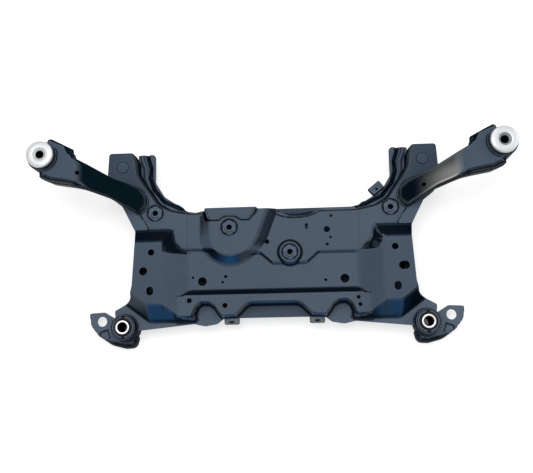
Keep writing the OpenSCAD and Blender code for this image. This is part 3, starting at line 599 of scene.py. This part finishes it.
lowerPairs = [(235, 65, 13), (302.5, 162, 7), (240, -55, 16), (84, -153, 4), (196, -100, 6)]
lowerHoles = [(s * x, y, r) for s in (-1, 1) for x, y, r in lowerPairs] + [(-85, -21.5, 12), (34, -29, 13)]
lowerOutline = roundOff(straightFront + legCorners + flipped(roundFront + legCorners))
for ring in tubeRings:
    lowerOutline = bitten(lowerOutline, ring)
lowerSheet = pressSheet(lowerOutline, lowerHoles, lowerHeight, lower["thick"], 2, 8, lowerShading)
wall = sideWall()
lowerPanel = joined("lowerPanel", lowerSheet, sided(wall, "right"), sided(wall, "left"))
settle(lowerPanel, "ecoat", "lower_panel", "left_ear_base", "right_ear_base", "left_side_wall",
       "right_side_wall", "front_step")
print("lower panel pressed,", len(lowerPanel.data.polygons), "faces")


arm = {"top": 150, "bend": 366, "run": 118, "lip": 14, "lipR": 7, "wideLipR": 6, "depth": 44, "thick": 3,
       "wallIn": 1.2, "cornerR": 8, "innerCornerR": 6, "rows": 60, "footEnd": 6.4, "footH": 3, "endR": 36.6,
       "holes": {"left": (370, 131, 4), "right": (297, 99, 4)}}
# stations along the arm, with the point of its front and of its rear edge at each
armAt = np.array([0, 1, 1.6, 2.2, 4, 6, 7])
armFront = line((427, 200), (383.5, 177), (381, 164.5), (364, 153), (315, 130.5), (268, 114), (240, 103))
armRear = line((446, 125), (422, 114.5), (391, 109), (365, 104.5), (322, 92), (280, 72), (252, 56))
armRing = roundOff([(427, 204, 3), (381, 180, 5), (379, 163.5, 4), (315, 131.5, 20), (268, 115, 14),
                    (252, 103, 9), (250, 80, 12), (267, 62, 7), (282, 71, 20), (322, 91.5, 30),
                    (365, 104, 20), (391, 108.6, 20), (422, 114, 14), (446, 124.5, 4)], 1.6)
armEnd = np.hypot(armRing[:, 0] - front["x"], armRing[:, 1] - front["y"]) < arm["endR"]
armEdge = np.roll(armRing, -(np.flatnonzero(armEnd)[-1] + 1), 0)[:np.sum(~armEnd)]
chamferIn = line((434, 199), (424, 195), (397, 183), (389.5, 168.5), (382, 163.5), (378, 162))
chamferZone = np.vstack([chamferIn, [(370, 165), (372, 186), (377, 193), (428, 213)]])
footCorners = [(312, 99, 1), (313, 93, 3), (301, 80, 6), (276, 30.5, 4), (247, 30.5, 3), (258, 50, 3),
               (276, 66.6, 1), (286, 73, 1), (290, 83, 1)]


# flat end and straight slope down to the panel, rounded where they meet
def armZ(x):
    p = arm
    slope = p["top"] - (p["bend"] - x) * (p["top"] - frontZ) / p["run"]
    return softMin(np.full(np.shape(x), float(p["top"])), slope, 16)


# 1 along the rear of the flat end, where the lip is wider
def wideLip(x, y):
    return ramp((x - 350) / 25) * ramp((140 - y + (x - 400) * 0.3) / 20)


# top of the arm, its long edges rolled down through a quarter circle into a lip, with a chamfer along the
# front of the flat end
def coverHeight(x, y):
    p = arm
    cut = 1.05 * lineDistance(x, y, chamferIn) * insideOf(x, y, chamferZone)
    d = edgeDistance(x, y, armEdge, armRing)
    r = p["lipR"] + p["wideLipR"] * wideLip(x, y)
    t = np.clip(1 - d / r, 0, 1)
    drop = r * (1 - np.sqrt(1 - t * t * 0.98)) + np.maximum(p["lip"] - r, 0) * ramp((1.1 - d) / 1.1)
    return np.maximum(armZ(x) - np.maximum(drop, cut) - 6 * np.maximum(-d, 0), frontZ - 1.5)


# painted shade on the chamfer and on the wide lip
def coverShading(x, y):
    d = lineDistance(x, y, armEdge)
    return -patch(x, y, chamferZone, 1, 2) - 0.7 * wideLip(x, y) * ramp((12 - d) / 3)


# level foot on the panel
def footHeight(x, y):
    return np.full(x.shape, frontZ + float(arm["footH"]))


# channel below: rows along the arm, each a U of walls, quarter circles and a floor, cut back to the tube
def channelNet(inset, depth, cornerR):
    wallPoints, floorPoints = 4, 6
    t = np.linspace(0, math.pi / 2, 7)
    off = np.r_[[inset] * wallPoints, inset + cornerR * (1 - np.cos(t))]
    high = np.r_[np.linspace(-7, -depth + cornerR, wallPoints + 1)[:-1], -depth + cornerR * (1 - np.sin(t))]
    across = np.linspace(0, 1, floorPoints + 2)[1:-1]
    weight = np.r_[np.zeros(len(off)), across, np.ones(len(off))]
    off = np.r_[off, off[-1] * (1 - 2 * across), -off[::-1]]
    high = np.r_[high, np.full(floorPoints, -float(depth)), high[::-1]]

    def place(s):
        f = np.dstack([np.interp(s, armAt, c) for c in armFront.T])
        r = np.dstack([np.interp(s, armAt, c) for c in armRear.T])
        u = (r - f) / np.linalg.norm(r - f, axis=2)[:, :, None]
        return f + (r - f) * weight[None, :, None] + u * off[None, :, None]

    trial = np.linspace(0, 2, 200)[:, None] * np.ones((1, len(off)))
    away = np.hypot(*(place(trial) - [front["x"], front["y"]]).transpose(2, 0, 1)) - front["tubeR"]
    first = np.where(away < 0, trial, 0).max(0)
    xy = place(first + (arm["footEnd"] - first) * np.linspace(0, 1, arm["rows"])[:, None])
    return np.dstack([xy, np.maximum(armZ(xy[:, :, 0]) + high, frontZ - 0.6)])


channel = netShell(channelNet(arm["wallIn"], arm["depth"], arm["cornerR"]),
                   channelNet(arm["wallIn"] + arm["thick"], arm["depth"] - arm["thick"], arm["innerCornerR"]))
foot = pressSheet(roundOff(footCorners), [], footHeight, arm["footH"], 3, 6)
frontWeld = [(x, y, frontZ + 0.6) for x, y in ((311, 132.5), (290, 124.6), (268, 116), (257, 107.5))]
innerWeld = [(x, y, frontZ + 1) for x, y in ((252, 101), (250, 92), (250, 82), (255, 72), (265, 63))]
armWelds = [weldBead(frontWeld), weldBead(innerWeld, 2.0), tubeWeld(front, 0.6, 150.2, 150, 262, 60, 2.4)]
coverOutline = bitten(armRing, holeRing(front["x"], front["y"], front["tubeR"]))
for word in ("left", "right"):
    cover = pressSheet(coverOutline, [arm["holes"][word]], coverHeight, arm["thick"], 1.5, 4.5, coverShading)
    coverPiece = joined(word + "ArmCover", sided(cover, word))
    channelPiece = joined(word + "ArmChannel", *[sided(p, word) for p in [channel, foot] + armWelds])
    settle(coverPiece, "ecoat", word + "_arm_cover")
    settle(channelPiece, "ecoat", word + "_arm_channel")
print("arms swept")


bracket = {"z": 22, "drop": 16, "thick": 4, "hole": (349.5, -147.5, 10), "padH": 1.5,
           "rimAtX": (300, 320, 340, 354, 374), "rim": (10, 9.5, 6, 1.8, 1)}  # width of the rim along x
bracketRing = roundOff([(375, -130.5, 2), (375, -154, 26), (357, -177, 30), (331, -195, 40),
                        (302, -202.5, 16), (280, -201, 13), (275, -182, 6), (279, -172, 2),
                        (298.5, -162, 1), (323, -142, 3), (344, -129, 8)])
padRing = roundOff([(354, -169, 3), (338, -163.6, 3), (331, -182, 3), (353, -183, 3)], 2)
padLine = line((352.6, -181), (353.6, -172), (352, -168.6), (337.5, -163.6))
padSide = line((337.5, -163.6), (331.5, -180))


# points in order of their angle about a middle
def sweptRound(points, x, y):
    return points[np.argsort(np.arctan2(points[:, 1] - y, points[:, 0] - x))]


bx, by = bracketRing.T
bracketRim = sweptRound(bracketRing[(by < -176) | ((bx > 350) & (by < -131))], 320, -140)


# flat bracket with its outer rim rolled down and a sunk four-sided pad
def bracketHeight(x, y):
    p = bracket
    d = edgeDistance(x, y, bracketRim, bracketRing)
    wide = np.interp(x, p["rimAtX"], p["rim"]) * ramp((-136 - y) / 14)
    roll = 1.15 * softMax(wide - d, np.zeros(np.shape(x)), 3)
    roll = roll + np.maximum(p["drop"] - roll, 0) * ramp((1.2 - d) / 1.2) * ramp((-134 - y) / 24)
    return p["z"] - roll - 4 * np.maximum(-d, 0) - p["padH"] * patch(x, y, padRing, 1, 2)


# painted shade along three sides of the pad
def bracketShading(x, y):
    return -stripe(x, y, padLine, 1.3, 1.7) - 0.5 * stripe(x, y, padSide, 1.2, 1.7)


bracketSheet = pressSheet(bitten(bracketRing, tubeRings[1]), [bracket["hole"]], bracketHeight,
                          bracket["thick"], 1.5, 4.5, bracketShading)
rearWelds = [tubeWeld(rear, 0.6, 22.2, -118, 38, 80, 2.6), tubeWeld(rear, 0.4, 38.0, 60, 188, 70, 2.3)]

# profiles of the mounts and the pivot nut: radius, then height above the ground or the underside of the ear
rearForms = {
    "tube": [(25, 0), (25, 58), (24.4, 58.8), (23.6, 59), (22.6, 58.8), (22, 58), (22, 0)],
    "rubber": [(22, 4), (22, 53), (21.6, 57), (20.6, 59.6), (19.6, 60), (18.8, 59.6), (18.2, 58),
               (17.6, 55.6), (13.2, 55), (13.2, 4)],
    "sleeve": [(8.2, 0), (13.7, 0), (13.7, 62.2), (13.5, 62.8), (13.1, 63), (10.2, 63), (9.6, 62.6),
               (8.2, 61)],
}
frontForms = {
    "tube": [(29, 102), (29, 150), (28.6, 150.8), (27.5, 151), (26.4, 150.8), (26, 150), (26, 102)],
    "rubber": [(26, 106), (26, 147), (25, 148.4), (24, 150.5), (22.6, 154), (22, 157), (13, 157), (13, 106)],
    "collar": [(7.2, 100), (13, 100), (13, 157), (25.3, 157), (26, 157.7), (26, 163), (25.7, 163.8),
               (24, 165), (13.2, 165), (12.4, 164.7), (8.6, 161), (7.2, 160.7)],
}
pivotForm = [(5.1, -12), (11, -12), (11, -3), (15.5, -3), (15.5, 0), (11.5, 0), (11.5, 2.1), (11, 2.6),
             (10, 2.8), (0, 2.8), (0, 0), (5.1, 0)]


# rubber top sunk by two notches on the fore and aft line
def notched(r, a, z):
    return z - 5 * ramp((np.abs(np.sin(a)) - 0.985) / 0.008) * ramp((r - 17) / 1.2) * ramp((z - 50) / 4)


# profile lifted by a height
def raised(profile, height):
    return [(r, z + height) for r, z in profile]


earUnder = frontZ - upper["thick"]
for word, s in (("left", -1), ("right", 1)):
    rearAt, frontAt = (s * rear["x"], rear["y"]), (s * front["x"], front["y"])
    rearTube = [turned(*rearAt, rearForms["tube"])] + [sided(w, word) for w in rearWelds]
    rearRubber = turned(*rearAt, rearForms["rubber"], 240, notched)
    frontRubber = turned(*frontAt, frontForms["rubber"])
    frontCollar = turned(*frontAt, frontForms["collar"], 96)
    pivotNut = turned(s * upper["pivot"][0], upper["pivot"][1], raised(pivotForm, earUnder))
    settle(joined(word + "RearBracket", sided(bracketSheet, word)), "ecoat", word + "_rear_bracket")
    settle(joined(word + "RearTube", *rearTube), "ecoat", word + "_rear_tube")
    settle(joined(word + "RearRubber", rearRubber), "rubber", word + "_rear_rubber")
    settle(joined(word + "RearSleeve", turned(*rearAt, rearForms["sleeve"])), "sleeve", word + "_rear_sleeve")
    settle(joined(word + "FrontTube", turned(*frontAt, frontForms["tube"])), "ecoat", word + "_front_tube")
    settle(joined(word + "FrontRubber", frontRubber), "rubber", word + "_front_rubber")
    settle(joined(word + "FrontCollar", frontCollar), "collar", word + "_front_collar")
    settle(joined(word + "PivotNut", pivotNut), "nut", word + "_pivot_nut")


# profile of the collar nuts, its bore closed at the foot so that, painted dark, it stands for the shade seen
# down the bore
nutForm = [(0, -16), (0, -17.5), (11.1, -17.5), (11.1, -4), (18.6, -4), (18.6, 0), (13.8, 0), (13.8, 1.5),
           (13.4, 2.2), (12.4, 2.3), (10.8, 2.3), (9.9, 2.3), (9.3, 2.3), (8.6, 2.3), (5.7, 2.3), (5.1, 1.6),
           (5.1, 0), (5.1, -16)]
# piece, node, place and height of the sheet's top there
nutSeats = [("leftBarNut", "left_bar_nut", (-upper["bar"][0], upper["bar"][1]), frontZ),
            ("rightBarNut", "right_bar_nut", upper["bar"], frontZ),
            ("rackNut", "rack_nut", upper["rack"], upper["seatZ"]),
            ("centreNut", "centre_nut", upper["centre"], frontZ + upper["bossH"])]


# collar nut whose face swells towards six corners; painted shade in its bore and groove and round its face,
# one painted glint
def collarNut(x, y, top):
    verts, polys, _ = turned(x, y, raised(nutForm, top - upper["thick"]))
    dx, dy, z = verts[:, 0] - x, verts[:, 1] - y, verts[:, 2]
    r, a = np.hypot(dx, dy), np.arctan2(dy, dx)
    swell = 1 + 0.055 * np.cos(6 * a + x) * (r > 12) * (r < 15)
    shade = (r > 13.6) * (z < top - 2.7) + (r < 5.2) * (z < top - 2.5)
    shade = shade + 0.7 * (np.abs(r - 9.6) < 0.5) * ramp(-np.sin(a + 0.3) * 2 - 0.4)
    glint = (r > 12) * (r < 13.9) * ramp((-np.sin(a - 0.1) - 0.85) / 0.1)
    return np.c_[x + dx * swell, y + dy * swell, z], polys, glint - shade


for word, node, place, top in nutSeats:
    settle(joined(word, collarNut(*place, top)), "nut", node)


hose = {"z": 42, "fold": 4, "thick": 2.4, "hole": (211, 106, 2.8)}
hoseCorners = [(193, 105.5, 1.5), (216, 124, 1.5), (227.5, 109, 1.5), (205, 92, 1.5)]
hoseFold = line(*hoseCorners)[[0, 3, 2], :2]
clip = {"z": 36.4, "roll": 5, "rollR": 3, "thick": 2, "hole": (85, -155, 2.6)}
clipRing = roundOff([(69.5, -146, 1), (69.5, -159.4, 5), (100, -159.4, 5), (100, -146, 1)], 1.2)
clipRim = sweptRound(clipRing[clipRing[:, 1] < -146.5], 84.75, -146)


# plate that turns down along its two rear sides
def hoseHeight(x, y):
    return hose["z"] - hose["fold"] * ramp((2 - lineDistance(x, y, hoseFold)) / 2)


# painted shade along the fold
def hoseShading(x, y):
    return -stripe(x, y, hoseFold, 1.2, 2)


# clip with its three free sides rolled down through a quarter circle
def clipHeight(x, y):
    t = np.clip(1 - lineDistance(x, y, clipRim) / clip["rollR"], 0, 1)
    return clip["z"] - clip["roll"] * (1 - np.sqrt(1 - 0.98 * t * t))


# painted shade about the clip's hole, an oval
def clipShading(x, y):
    hx, hy, _ = clip["hole"]
    return -ramp((1.2 - np.hypot((x - hx) / 7, (y - hy) / 2.6)) / 0.5)


# closed cup under a piece's hole, painted dark all over to stand for the shade seen down the hole
def holeShadeCup(piece):
    x, y, r = piece["hole"]
    cup = [(0, -8), (r + 1.8, -8), (r + 1.8, 0), (r, 0), (r, -7), (0, -7)]
    verts, polys, paintedLight = turned(x, y, raised(cup, piece["z"] - piece["thick"]), 32)
    return verts, polys, paintedLight - 1


hosePlate = pressSheet(roundOff(hoseCorners, 1.5), [hose["hole"]], hoseHeight, hose["thick"], 1.2, 3.6,
                       hoseShading)
settle(joined("hoseBracket", hosePlate, holeShadeCup(hose)), "ecoat", "hose_bracket")
clipSheet = pressSheet(clipRing, [clip["hole"]], clipHeight, clip["thick"], 1.2, 3.6, clipShading)
for word in ("left", "right"):
    clipParts = [sided(part, word) for part in (clipSheet, holeShadeCup(clip))]
    settle(joined(word + "TrayClip", *clipParts), "zinc", word + "_tray_clip")
print("mounts, brackets and nuts turned")


# link a wrapped socket, or set a plain value
def put(tree, socket, value):
    if isinstance(value, Val):
        tree.links.new(value.socket, socket)
    else:
        socket.default_value = value


# a socket that takes part in sums: each operator adds its Math node
class Val:
    def __init__(self, tree, socket):
        self.tree = tree
        self.socket = socket

    def op(self, kind, other=None, swap=False):
        n = self.tree.nodes.new("ShaderNodeMath")
        n.operation = kind
        ends = (other, self) if swap else (self, other)
        for socket, value in zip(n.inputs, ends):
            if value is not None:
                put(self.tree, socket, value)
        return Val(self.tree, n.outputs[0])

    def __add__(self, o):
        return self.op("ADD", o)

    def __sub__(self, o):
        return self.op("SUBTRACT", o)

    def __rsub__(self, o):
        return self.op("SUBTRACT", o, True)

    def __mul__(self, o):
        return self.op("MULTIPLY", o)

    def __truediv__(self, o):
        return self.op("DIVIDE", o)

    def __pow__(self, o):
        return self.op("POWER", o)

    def __neg__(self):
        return self.op("MULTIPLY", -1.0)

    __radd__ = __add__
    __rmul__ = __mul__

    def size(self):
        return self.op("ABSOLUTE")

    def clip(self):
        n = self.tree.nodes.new("ShaderNodeClamp")
        self.tree.links.new(self.socket, n.inputs[0])
        return Val(self.tree, n.outputs[0])

    # smooth step up, or down, between two levels
    def rise(self, low, high):
        c = ((self - low) / (high - low)).clip()
        return c * c * (3.0 - 2.0 * c)

    def fall(self, low, high):
        return 1.0 - self.rise(low, high)


# a material with its Principled shader, and short ways to add nodes to it
class Paint:
    def __init__(self, name):
        self.material = bpy.data.materials.new(name)
        self.material.use_nodes = True
        self.tree = self.material.node_tree
        self.shader = self.tree.nodes["Principled BSDF"]
        self.place = self.node("ShaderNodeTexCoord", out="Object")

    def node(self, kind, settings=None, inputs=None, out=0):
        n = self.tree.nodes.new(kind)
        for key, value in (settings or {}).items():
            setattr(n, key, value)
        for key, value in (inputs or {}).items():
            put(self.tree, n.inputs[key], value)
        return Val(self.tree, n.outputs[out])

    def noise(self, scale, detail=3.0):
        return self.node("ShaderNodeTexNoise", None, {"Vector": self.place, "Scale": scale, "Detail": detail})

    # the painted light: a highlight where above 0, shade where below
    def paintedLight(self):
        return self.node("ShaderNodeAttribute", {"attribute_name": "paintedLight"}, out="Fac")

    # colour a where k is 0 and b where it is 1; 6 and 7 are the two colour sockets
    def mix(self, k, a, b):
        return self.node("ShaderNodeMix", {"data_type": "RGBA"}, {0: k, 6: a, 7: b}, 2)

    def axes(self, vector):
        n = self.tree.nodes.new("ShaderNodeSeparateXYZ")
        self.tree.links.new(vector.socket, n.inputs[0])
        return [Val(self.tree, o) for o in n.outputs]

    def bump(self, height, distance, strength):
        sockets = {"Height": height, "Distance": distance, "Strength": strength}
        return self.node("ShaderNodeBump", None, sockets)

    def finish(self, **sockets):
        for key, value in sockets.items():
            put(self.tree, self.shader.inputs[key.replace("_", " ")], value)
        return self.material


# colours of the dipped coat: low and high for its level faces, speck for its own marks, rough its roughness;
# every other colour is painted light or shade: a highlight on edges, shade in gaps and on walls, a blue
# reflection on rear walls, the places painted lighter or darker, and the arms' painted shade, reflection and
# highlight
coat = {
    "low": (0.07, 0.097, 0.138), "high": (0.148, 0.192, 0.258), "rough": 0.36,
    "edge": (0.15, 0.18, 0.21, 1), "gap": (0.003, 0.007, 0.015, 1), "speck": (0.16, 0.17, 0.18, 1),
    "wall": (0.001, 0.006, 0.014, 1), "rearWall": (0.019, 0.083, 0.205, 1),
    "leftCorner": (0.1, 0.135, 0.175, 1), "seatCorner": (0.055, 0.068, 0.09, 1),
    "valleyLeft": (0.05, 0.066, 0.088, 1), "valleyRight": (0.12, 0.14, 0.165, 1),
    "backDark": (0.003, 0.017, 0.038, 1), "backPale": (0.036, 0.07, 0.12, 1),
    "rearLip": (0.14, 0.15, 0.155, 1), "armShade": (0.001, 0.0085, 0.015, 1),
    "armReflection": (0.36, 0.365, 0.35, 1), "armSheen": (0.72, 0.7, 0.63, 1),
}


# painted light on walls: painted shade on all, and a painted blue sky reflection on those towards the rear;
# then, one by one, the places painted lighter or darker: the left rear corner, the sides of the rear valleys,
# the corner of the rack seat, the right back slope and the arms' rear lips
def wallColour(p, x, y, z, nx, ny):
    ax, lean = x.size(), nx.size()
    rearward = (-ny - lean * 0.9).rise(0.1, 0.6) * ax.fall(0.255, 0.275)
    wall = p.mix(rearward, coat["wall"], coat["rearWall"])
    corner = (-x).rise(0.225, 0.235) * (-y).rise(0.095, 0.1) * (-nx).rise(0.1, 0.3)
    wall = p.mix(corner * (0.2 + 0.8 * y.rise(-0.142, -0.112)), wall, coat["leftCorner"])
    valley = lean.rise(0.3, 0.55) * (-y).rise(0.108, 0.114) * ax.fall(0.15, 0.165)
    valleySide = p.mix(nx.rise(-0.2, 0.2), coat["valleyLeft"], coat["valleyRight"])
    wall = p.mix(valley * 0.8, wall, valleySide)
    seat = nx.rise(0.1, 0.3) * x.rise(-0.075, -0.062) * x.fall(-0.03, -0.02)
    seat = seat * y.rise(-0.05, -0.045) * y.fall(-0.008, 0.004)
    wall = p.mix(seat * 0.85, wall, coat["seatCorner"])
    back = (-y).rise(0.118, 0.122) * (-ny).rise(0.3, 0.5) * z.rise(0.039, 0.041)
    wall = p.mix(back * x.rise(0.166, 0.172) * x.fall(0.199, 0.212) * 0.75, wall, coat["backDark"])
    wall = p.mix(back * x.rise(0.206, 0.216) * x.fall(0.222, 0.234) * 0.7, wall, coat["backPale"])
    lip = (-ny).rise(0.55, 0.8) * ax.rise(0.372, 0.385) * z.rise(0.095, 0.1)
    return p.mix(lip * (1.0 - 0.55 * x.rise(-0.1, 0.1)) * 0.85, wall, coat["rearLip"])


# painted light on level faces: paler on the low flanges and brackets, painted shade on the ears and the right
# slope
def deckLighting(x, y, z, nz):
    low = z.fall(0.044, 0.05)
    deck = 0.22 + low * (0.6 * x.size().rise(0.07, 0.11) - 0.2) + 0.35 * z.fall(0.024, 0.03)
    deck = deck * nz.rise(0.93, 0.985) * z.fall(0.074, 0.081)
    deck = deck - 0.5 * nz.rise(0.9, 0.95) * y.rise(0.095, 0.115) * z.fall(0.07, 0.08)
    return deck - 0.11 * x.rise(0.162, 0.168) * x.fall(0.208, 0.22) * y.fall(-0.024, -0.018)


# slopes of the arms: painted shade on the left; on the right a pale painted reflection, brightest along its
# rear, and a painted highlight on its rear lip
def armSlopes(p, colour, x, y, z, nx, ny, nz):
    onSlope = z.rise(0.066, 0.078) * x.size().rise(0.245, 0.252)
    colour = p.mix(nx.rise(0.2, 0.45) * (-x).rise(0.1, 0.2) * onSlope, colour, coat["armShade"])
    reflection = (-nx).rise(0.3, 0.55) * nz.rise(0.4, 0.6) * x.rise(0.278, 0.35) * x.fall(0.366, 0.376) * onSlope
    across = (y - (0.096 + (x - 0.345) * 0.2)) / 0.05
    pale = (-ny).fall(0.4, 0.55) * (0.9 - 0.62 * across.rise(0.35, 0.85))
    colour = p.mix(reflection * pale, colour, coat["armReflection"])
    return p.mix(reflection * (-ny).rise(0.04, 0.12) * (-ny).fall(0.38, 0.5), colour, coat["armSheen"])


# dipped coat with light and shade painted in: pale where it looks up or down, painted shade on walls and in
# gaps and creases, a painted highlight on pressed edges; specks and pebbling are its own
def coatPaint(name, lift=1.0):
    p = Paint(name)
    nx, ny, nz = p.axes(p.node("ShaderNodeNewGeometry", out="Normal"))
    x, y, z = p.axes(p.place)
    cloud = p.noise(9.0) - 0.5
    flat = (nz.size() + cloud * 0.03).rise(0.81, 0.885)
    deckLightAndCloud = (0.3 + deckLighting(x, y, z, nz) + cloud * 0.35).clip()
    low, high = (tuple(c * lift for c in coat[k]) + (1,) for k in ("low", "high"))
    colour = p.mix(flat, wallColour(p, x, y, z, nx, ny), p.mix(deckLightAndCloud, low, high))
    paintedLight = p.paintedLight()
    colour = p.mix(paintedLight.rise(0.06, 0.6) * 0.3, colour, coat["edge"])
    colour = p.mix((-paintedLight).rise(0.05, 0.6) * 0.85, colour, coat["gap"])
    colour = armSlopes(p, colour, x, y, z, nx, ny, nz)
    colour = p.mix(p.noise(420.0, 2.0).rise(0.68, 0.8) * 0.12, colour, coat["speck"])
    pebble = p.noise(700.0, 2.0) + p.noise(160.0, 2.0) * 1.5
    return p.finish(Base_Color=colour, Roughness=coat["rough"] + cloud * 0.16, Specular_IOR_Level=0.015,
                    Normal=p.bump(pebble, 0.00012, 0.5))


# distance from the upright axis of a mount, the same on both sides
def fromAxis(x, y, mount):
    return ((x.size() - mount["x"] * mm) ** 2.0 + (y - mount["y"] * mm) ** 2.0) ** 0.5


# clouded rubber with a paler lip round the rear mounts
def rubberPaint():
    p = Paint("moulded rubber")
    x, y, z = p.axes(p.place)
    r = fromAxis(x, y, rear)
    cloud = p.noise(60.0, 4.0)
    colour = p.mix(cloud.rise(0.4, 0.75), (0.006, 0.007, 0.009, 1), (0.016, 0.018, 0.022, 1))
    lip = r.rise(0.0174, 0.018) * z.rise(0.0545, 0.0565) * r.fall(0.0214, 0.022)
    colour = p.mix(lip, colour, (0.13, 0.15, 0.2, 1))
    return p.finish(Base_Color=colour, Roughness=0.62 + cloud * 0.2, Specular_IOR_Level=0.35,
                    Normal=p.bump(p.noise(500.0), 0.0002, 0.6))


collarMetal = {"mount": front, "boreR": front["boreR"], "rough": 0.36, "metal": 0.35, "innerShade": 1.0,
               "outerShade": 0.0, "pale": (0.78, 0.79, 0.8, 1), "dark": (0.66, 0.68, 0.7, 1)}
sleeveMetal = {"mount": rear, "boreR": rear["boreR"] + 1, "rough": 0.3, "metal": 0.9, "innerShade": 0.0,
               "outerShade": 1.0, "pale": (0.7, 0.71, 0.72, 1), "dark": (0.45, 0.46, 0.47, 1)}


# turned metal: fine rings about the mount's axis, with painted shade round its inner or outer edge and in its
# bore
def turnedPaint(name, look):
    p = Paint(name)
    x, y, _ = p.axes(p.place)
    r = fromAxis(x, y, look["mount"])
    grain = p.node("ShaderNodeTexNoise", {"noise_dimensions": "1D"}, {"W": r, "Scale": 2600.0, "Detail": 2.0})
    cloud = p.noise(45.0, 4.0)
    worn = (cloud.rise(0.35, 0.8) * 0.6 + (grain - 0.5) * 0.5).clip()
    edge = r.fall(0.0118, 0.0128) * (0.25 + x.rise(-0.1, 0.1) * 0.6) * look["innerShade"]
    edge = edge + r.rise(0.0132, 0.0135) * look["outerShade"]
    bore = r.fall(look["boreR"] * mm + 0.0006, look["boreR"] * mm + 0.0012)
    colour = p.mix(edge, p.mix(worn, look["pale"], look["dark"]), (0.2, 0.21, 0.22, 1))
    colour = p.mix(bore, colour, (0.004, 0.005, 0.007, 1))
    return p.finish(Base_Color=colour, Metallic=look["metal"] * (1.0 - bore), Specular_IOR_Level=0.05,
                    Roughness=look["rough"] + (cloud - 0.5) * 0.15 + bore * 0.5,
                    Normal=p.bump(grain, 0.00004, 0.6))


# clouded plating, with painted shade about the hole
def zincPaint():
    p = Paint("plated clip")
    cloud = p.noise(120.0, 5.0)
    colour = p.mix(cloud, (0.13, 0.16, 0.18, 1), (0.26, 0.29, 0.31, 1))
    colour = p.mix((-p.paintedLight()).rise(0.1, 0.7) * 0.95, colour, (0.004, 0.006, 0.01, 1))
    return p.finish(Base_Color=colour, Metallic=0.2, Roughness=0.4 + cloud * 0.2, Specular_IOR_Level=0.1,
                    Normal=p.bump(p.noise(300.0), 0.0001, 0.4))


paints = {
    "ecoat": coatPaint("dipped coat"),
    "nut": coatPaint("coated nut", 1.15),
    "rubber": rubberPaint(),
    "collar": turnedPaint("turned collar", collarMetal),
    "sleeve": turnedPaint("turned sleeve", sleeveMetal),
    "zinc": zincPaint(),
}
scene = bpy.context.scene
for obj in list(scene.objects):
    if obj.type == "MESH" and obj.name not in nodes:
        obj.data.materials.append(paints[obj["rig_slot"]])
print("painted")


studio = {"floorSize": 8, "floorZ": -0.0005, "floorColour": (0.86, 0.86, 0.86, 1), "floorGlow": 0.62,
          "skyLight": 0.31}


# 1 for rays from the camera, off gloss and through glass, so that metal shows the pale background too
def seenIn(tree):
    ray = tree.nodes.new("ShaderNodeLightPath")
    kinds = ("Is Camera Ray", "Is Glossy Ray", "Is Transmission Ray")
    camera, gloss, through = (Val(tree, ray.outputs[k]) for k in kinds)
    return (camera + gloss + through).clip()


# the floor glows white where it is open to the sky, and keeps the shadow close to the object
bpy.ops.mesh.primitive_plane_add(size=studio["floorSize"], location=(0, 0, studio["floorZ"]))
floor = bpy.context.object
floor.name = "floor"
p = Paint("pale floor")
openSky = p.node("ShaderNodeAmbientOcclusion", {"samples": 8}, {"Distance": 0.12}, "AO").rise(0.03, 0.12)
p.finish(Base_Color=studio["floorColour"], Roughness=0.9, Specular_IOR_Level=0.0,
         Emission_Strength=studio["floorGlow"],
         Emission_Color=p.mix(openSky * seenIn(p.tree), (0, 0, 0, 1), (1, 1, 1, 1)))
floor.data.materials.append(p.material)

world = bpy.data.worlds.new("studio")
scene.world = world
world.use_nodes = True
sky = world.node_tree.nodes["Background"].inputs
put(world.node_tree, sky["Color"], (1, 1, 1, 1))
put(world.node_tree, sky["Strength"], studio["skyLight"] + seenIn(world.node_tree) * (1 - studio["skyLight"]))


def softbox(name, where, aim, size, power):
    lamp = bpy.data.lights.new(name, "AREA")
    lamp.shape = "RECTANGLE"
    lamp.size, lamp.size_y = size
    lamp.energy = power
    obj = bpy.data.objects.new(name, lamp)
    scene.collection.objects.link(obj)
    obj.location = where
    obj.rotation_euler = (Vector(aim) - Vector(where)).to_track_quat("-Z", "Y").to_euler()


softbox("overhead", (-0.2, 0.5, 1.9), (0, 0, 0.05), (1.8, 1.2), 15)
softbox("side", (1.6, 0.5, 1.1), (0.1, 0.05, 0.06), (0.9, 0.7), 4.5)

# the photograph's camera: some degrees off straight down towards the rear, turned a little to the right; the
# lens is in pixels of the photograph's width
shot = {"pitch": 10, "turn": 2.98, "roll": -1.03, "aim": (-0.0123, 0.0135, 0.05), "far": 1.5, "lens": 750,
        "width": 533, "sensor": 36}
pitch, turn, roll = (math.radians(shot[k]) for k in ("pitch", "turn", "roll"))
away = Vector((math.sin(turn) * math.cos(pitch), -math.sin(pitch), math.cos(pitch) * math.cos(turn)))
away.normalize()
right = (-away).cross(Vector((0, 1, 0))).normalized()
up = right.cross(-away)
ex = math.cos(roll) * right + math.sin(roll) * up
ey = -math.sin(roll) * right + math.cos(roll) * up
lens = bpy.data.cameras.new("camera")
lens.sensor_fit = "HORIZONTAL"
lens.sensor_width = shot["sensor"]
lens.lens = shot["sensor"] * shot["lens"] / shot["width"]
camera = bpy.data.objects.new("camera", lens)
scene.collection.objects.link(camera)
spot = Vector(shot["aim"]) + shot["far"] * away
camera.matrix_world = Matrix.Translation(spot) @ Matrix((ex, ey, away)).transposed().to_4x4()
scene.camera = camera
scene.view_settings.view_transform = "Standard"
print("studio lit")
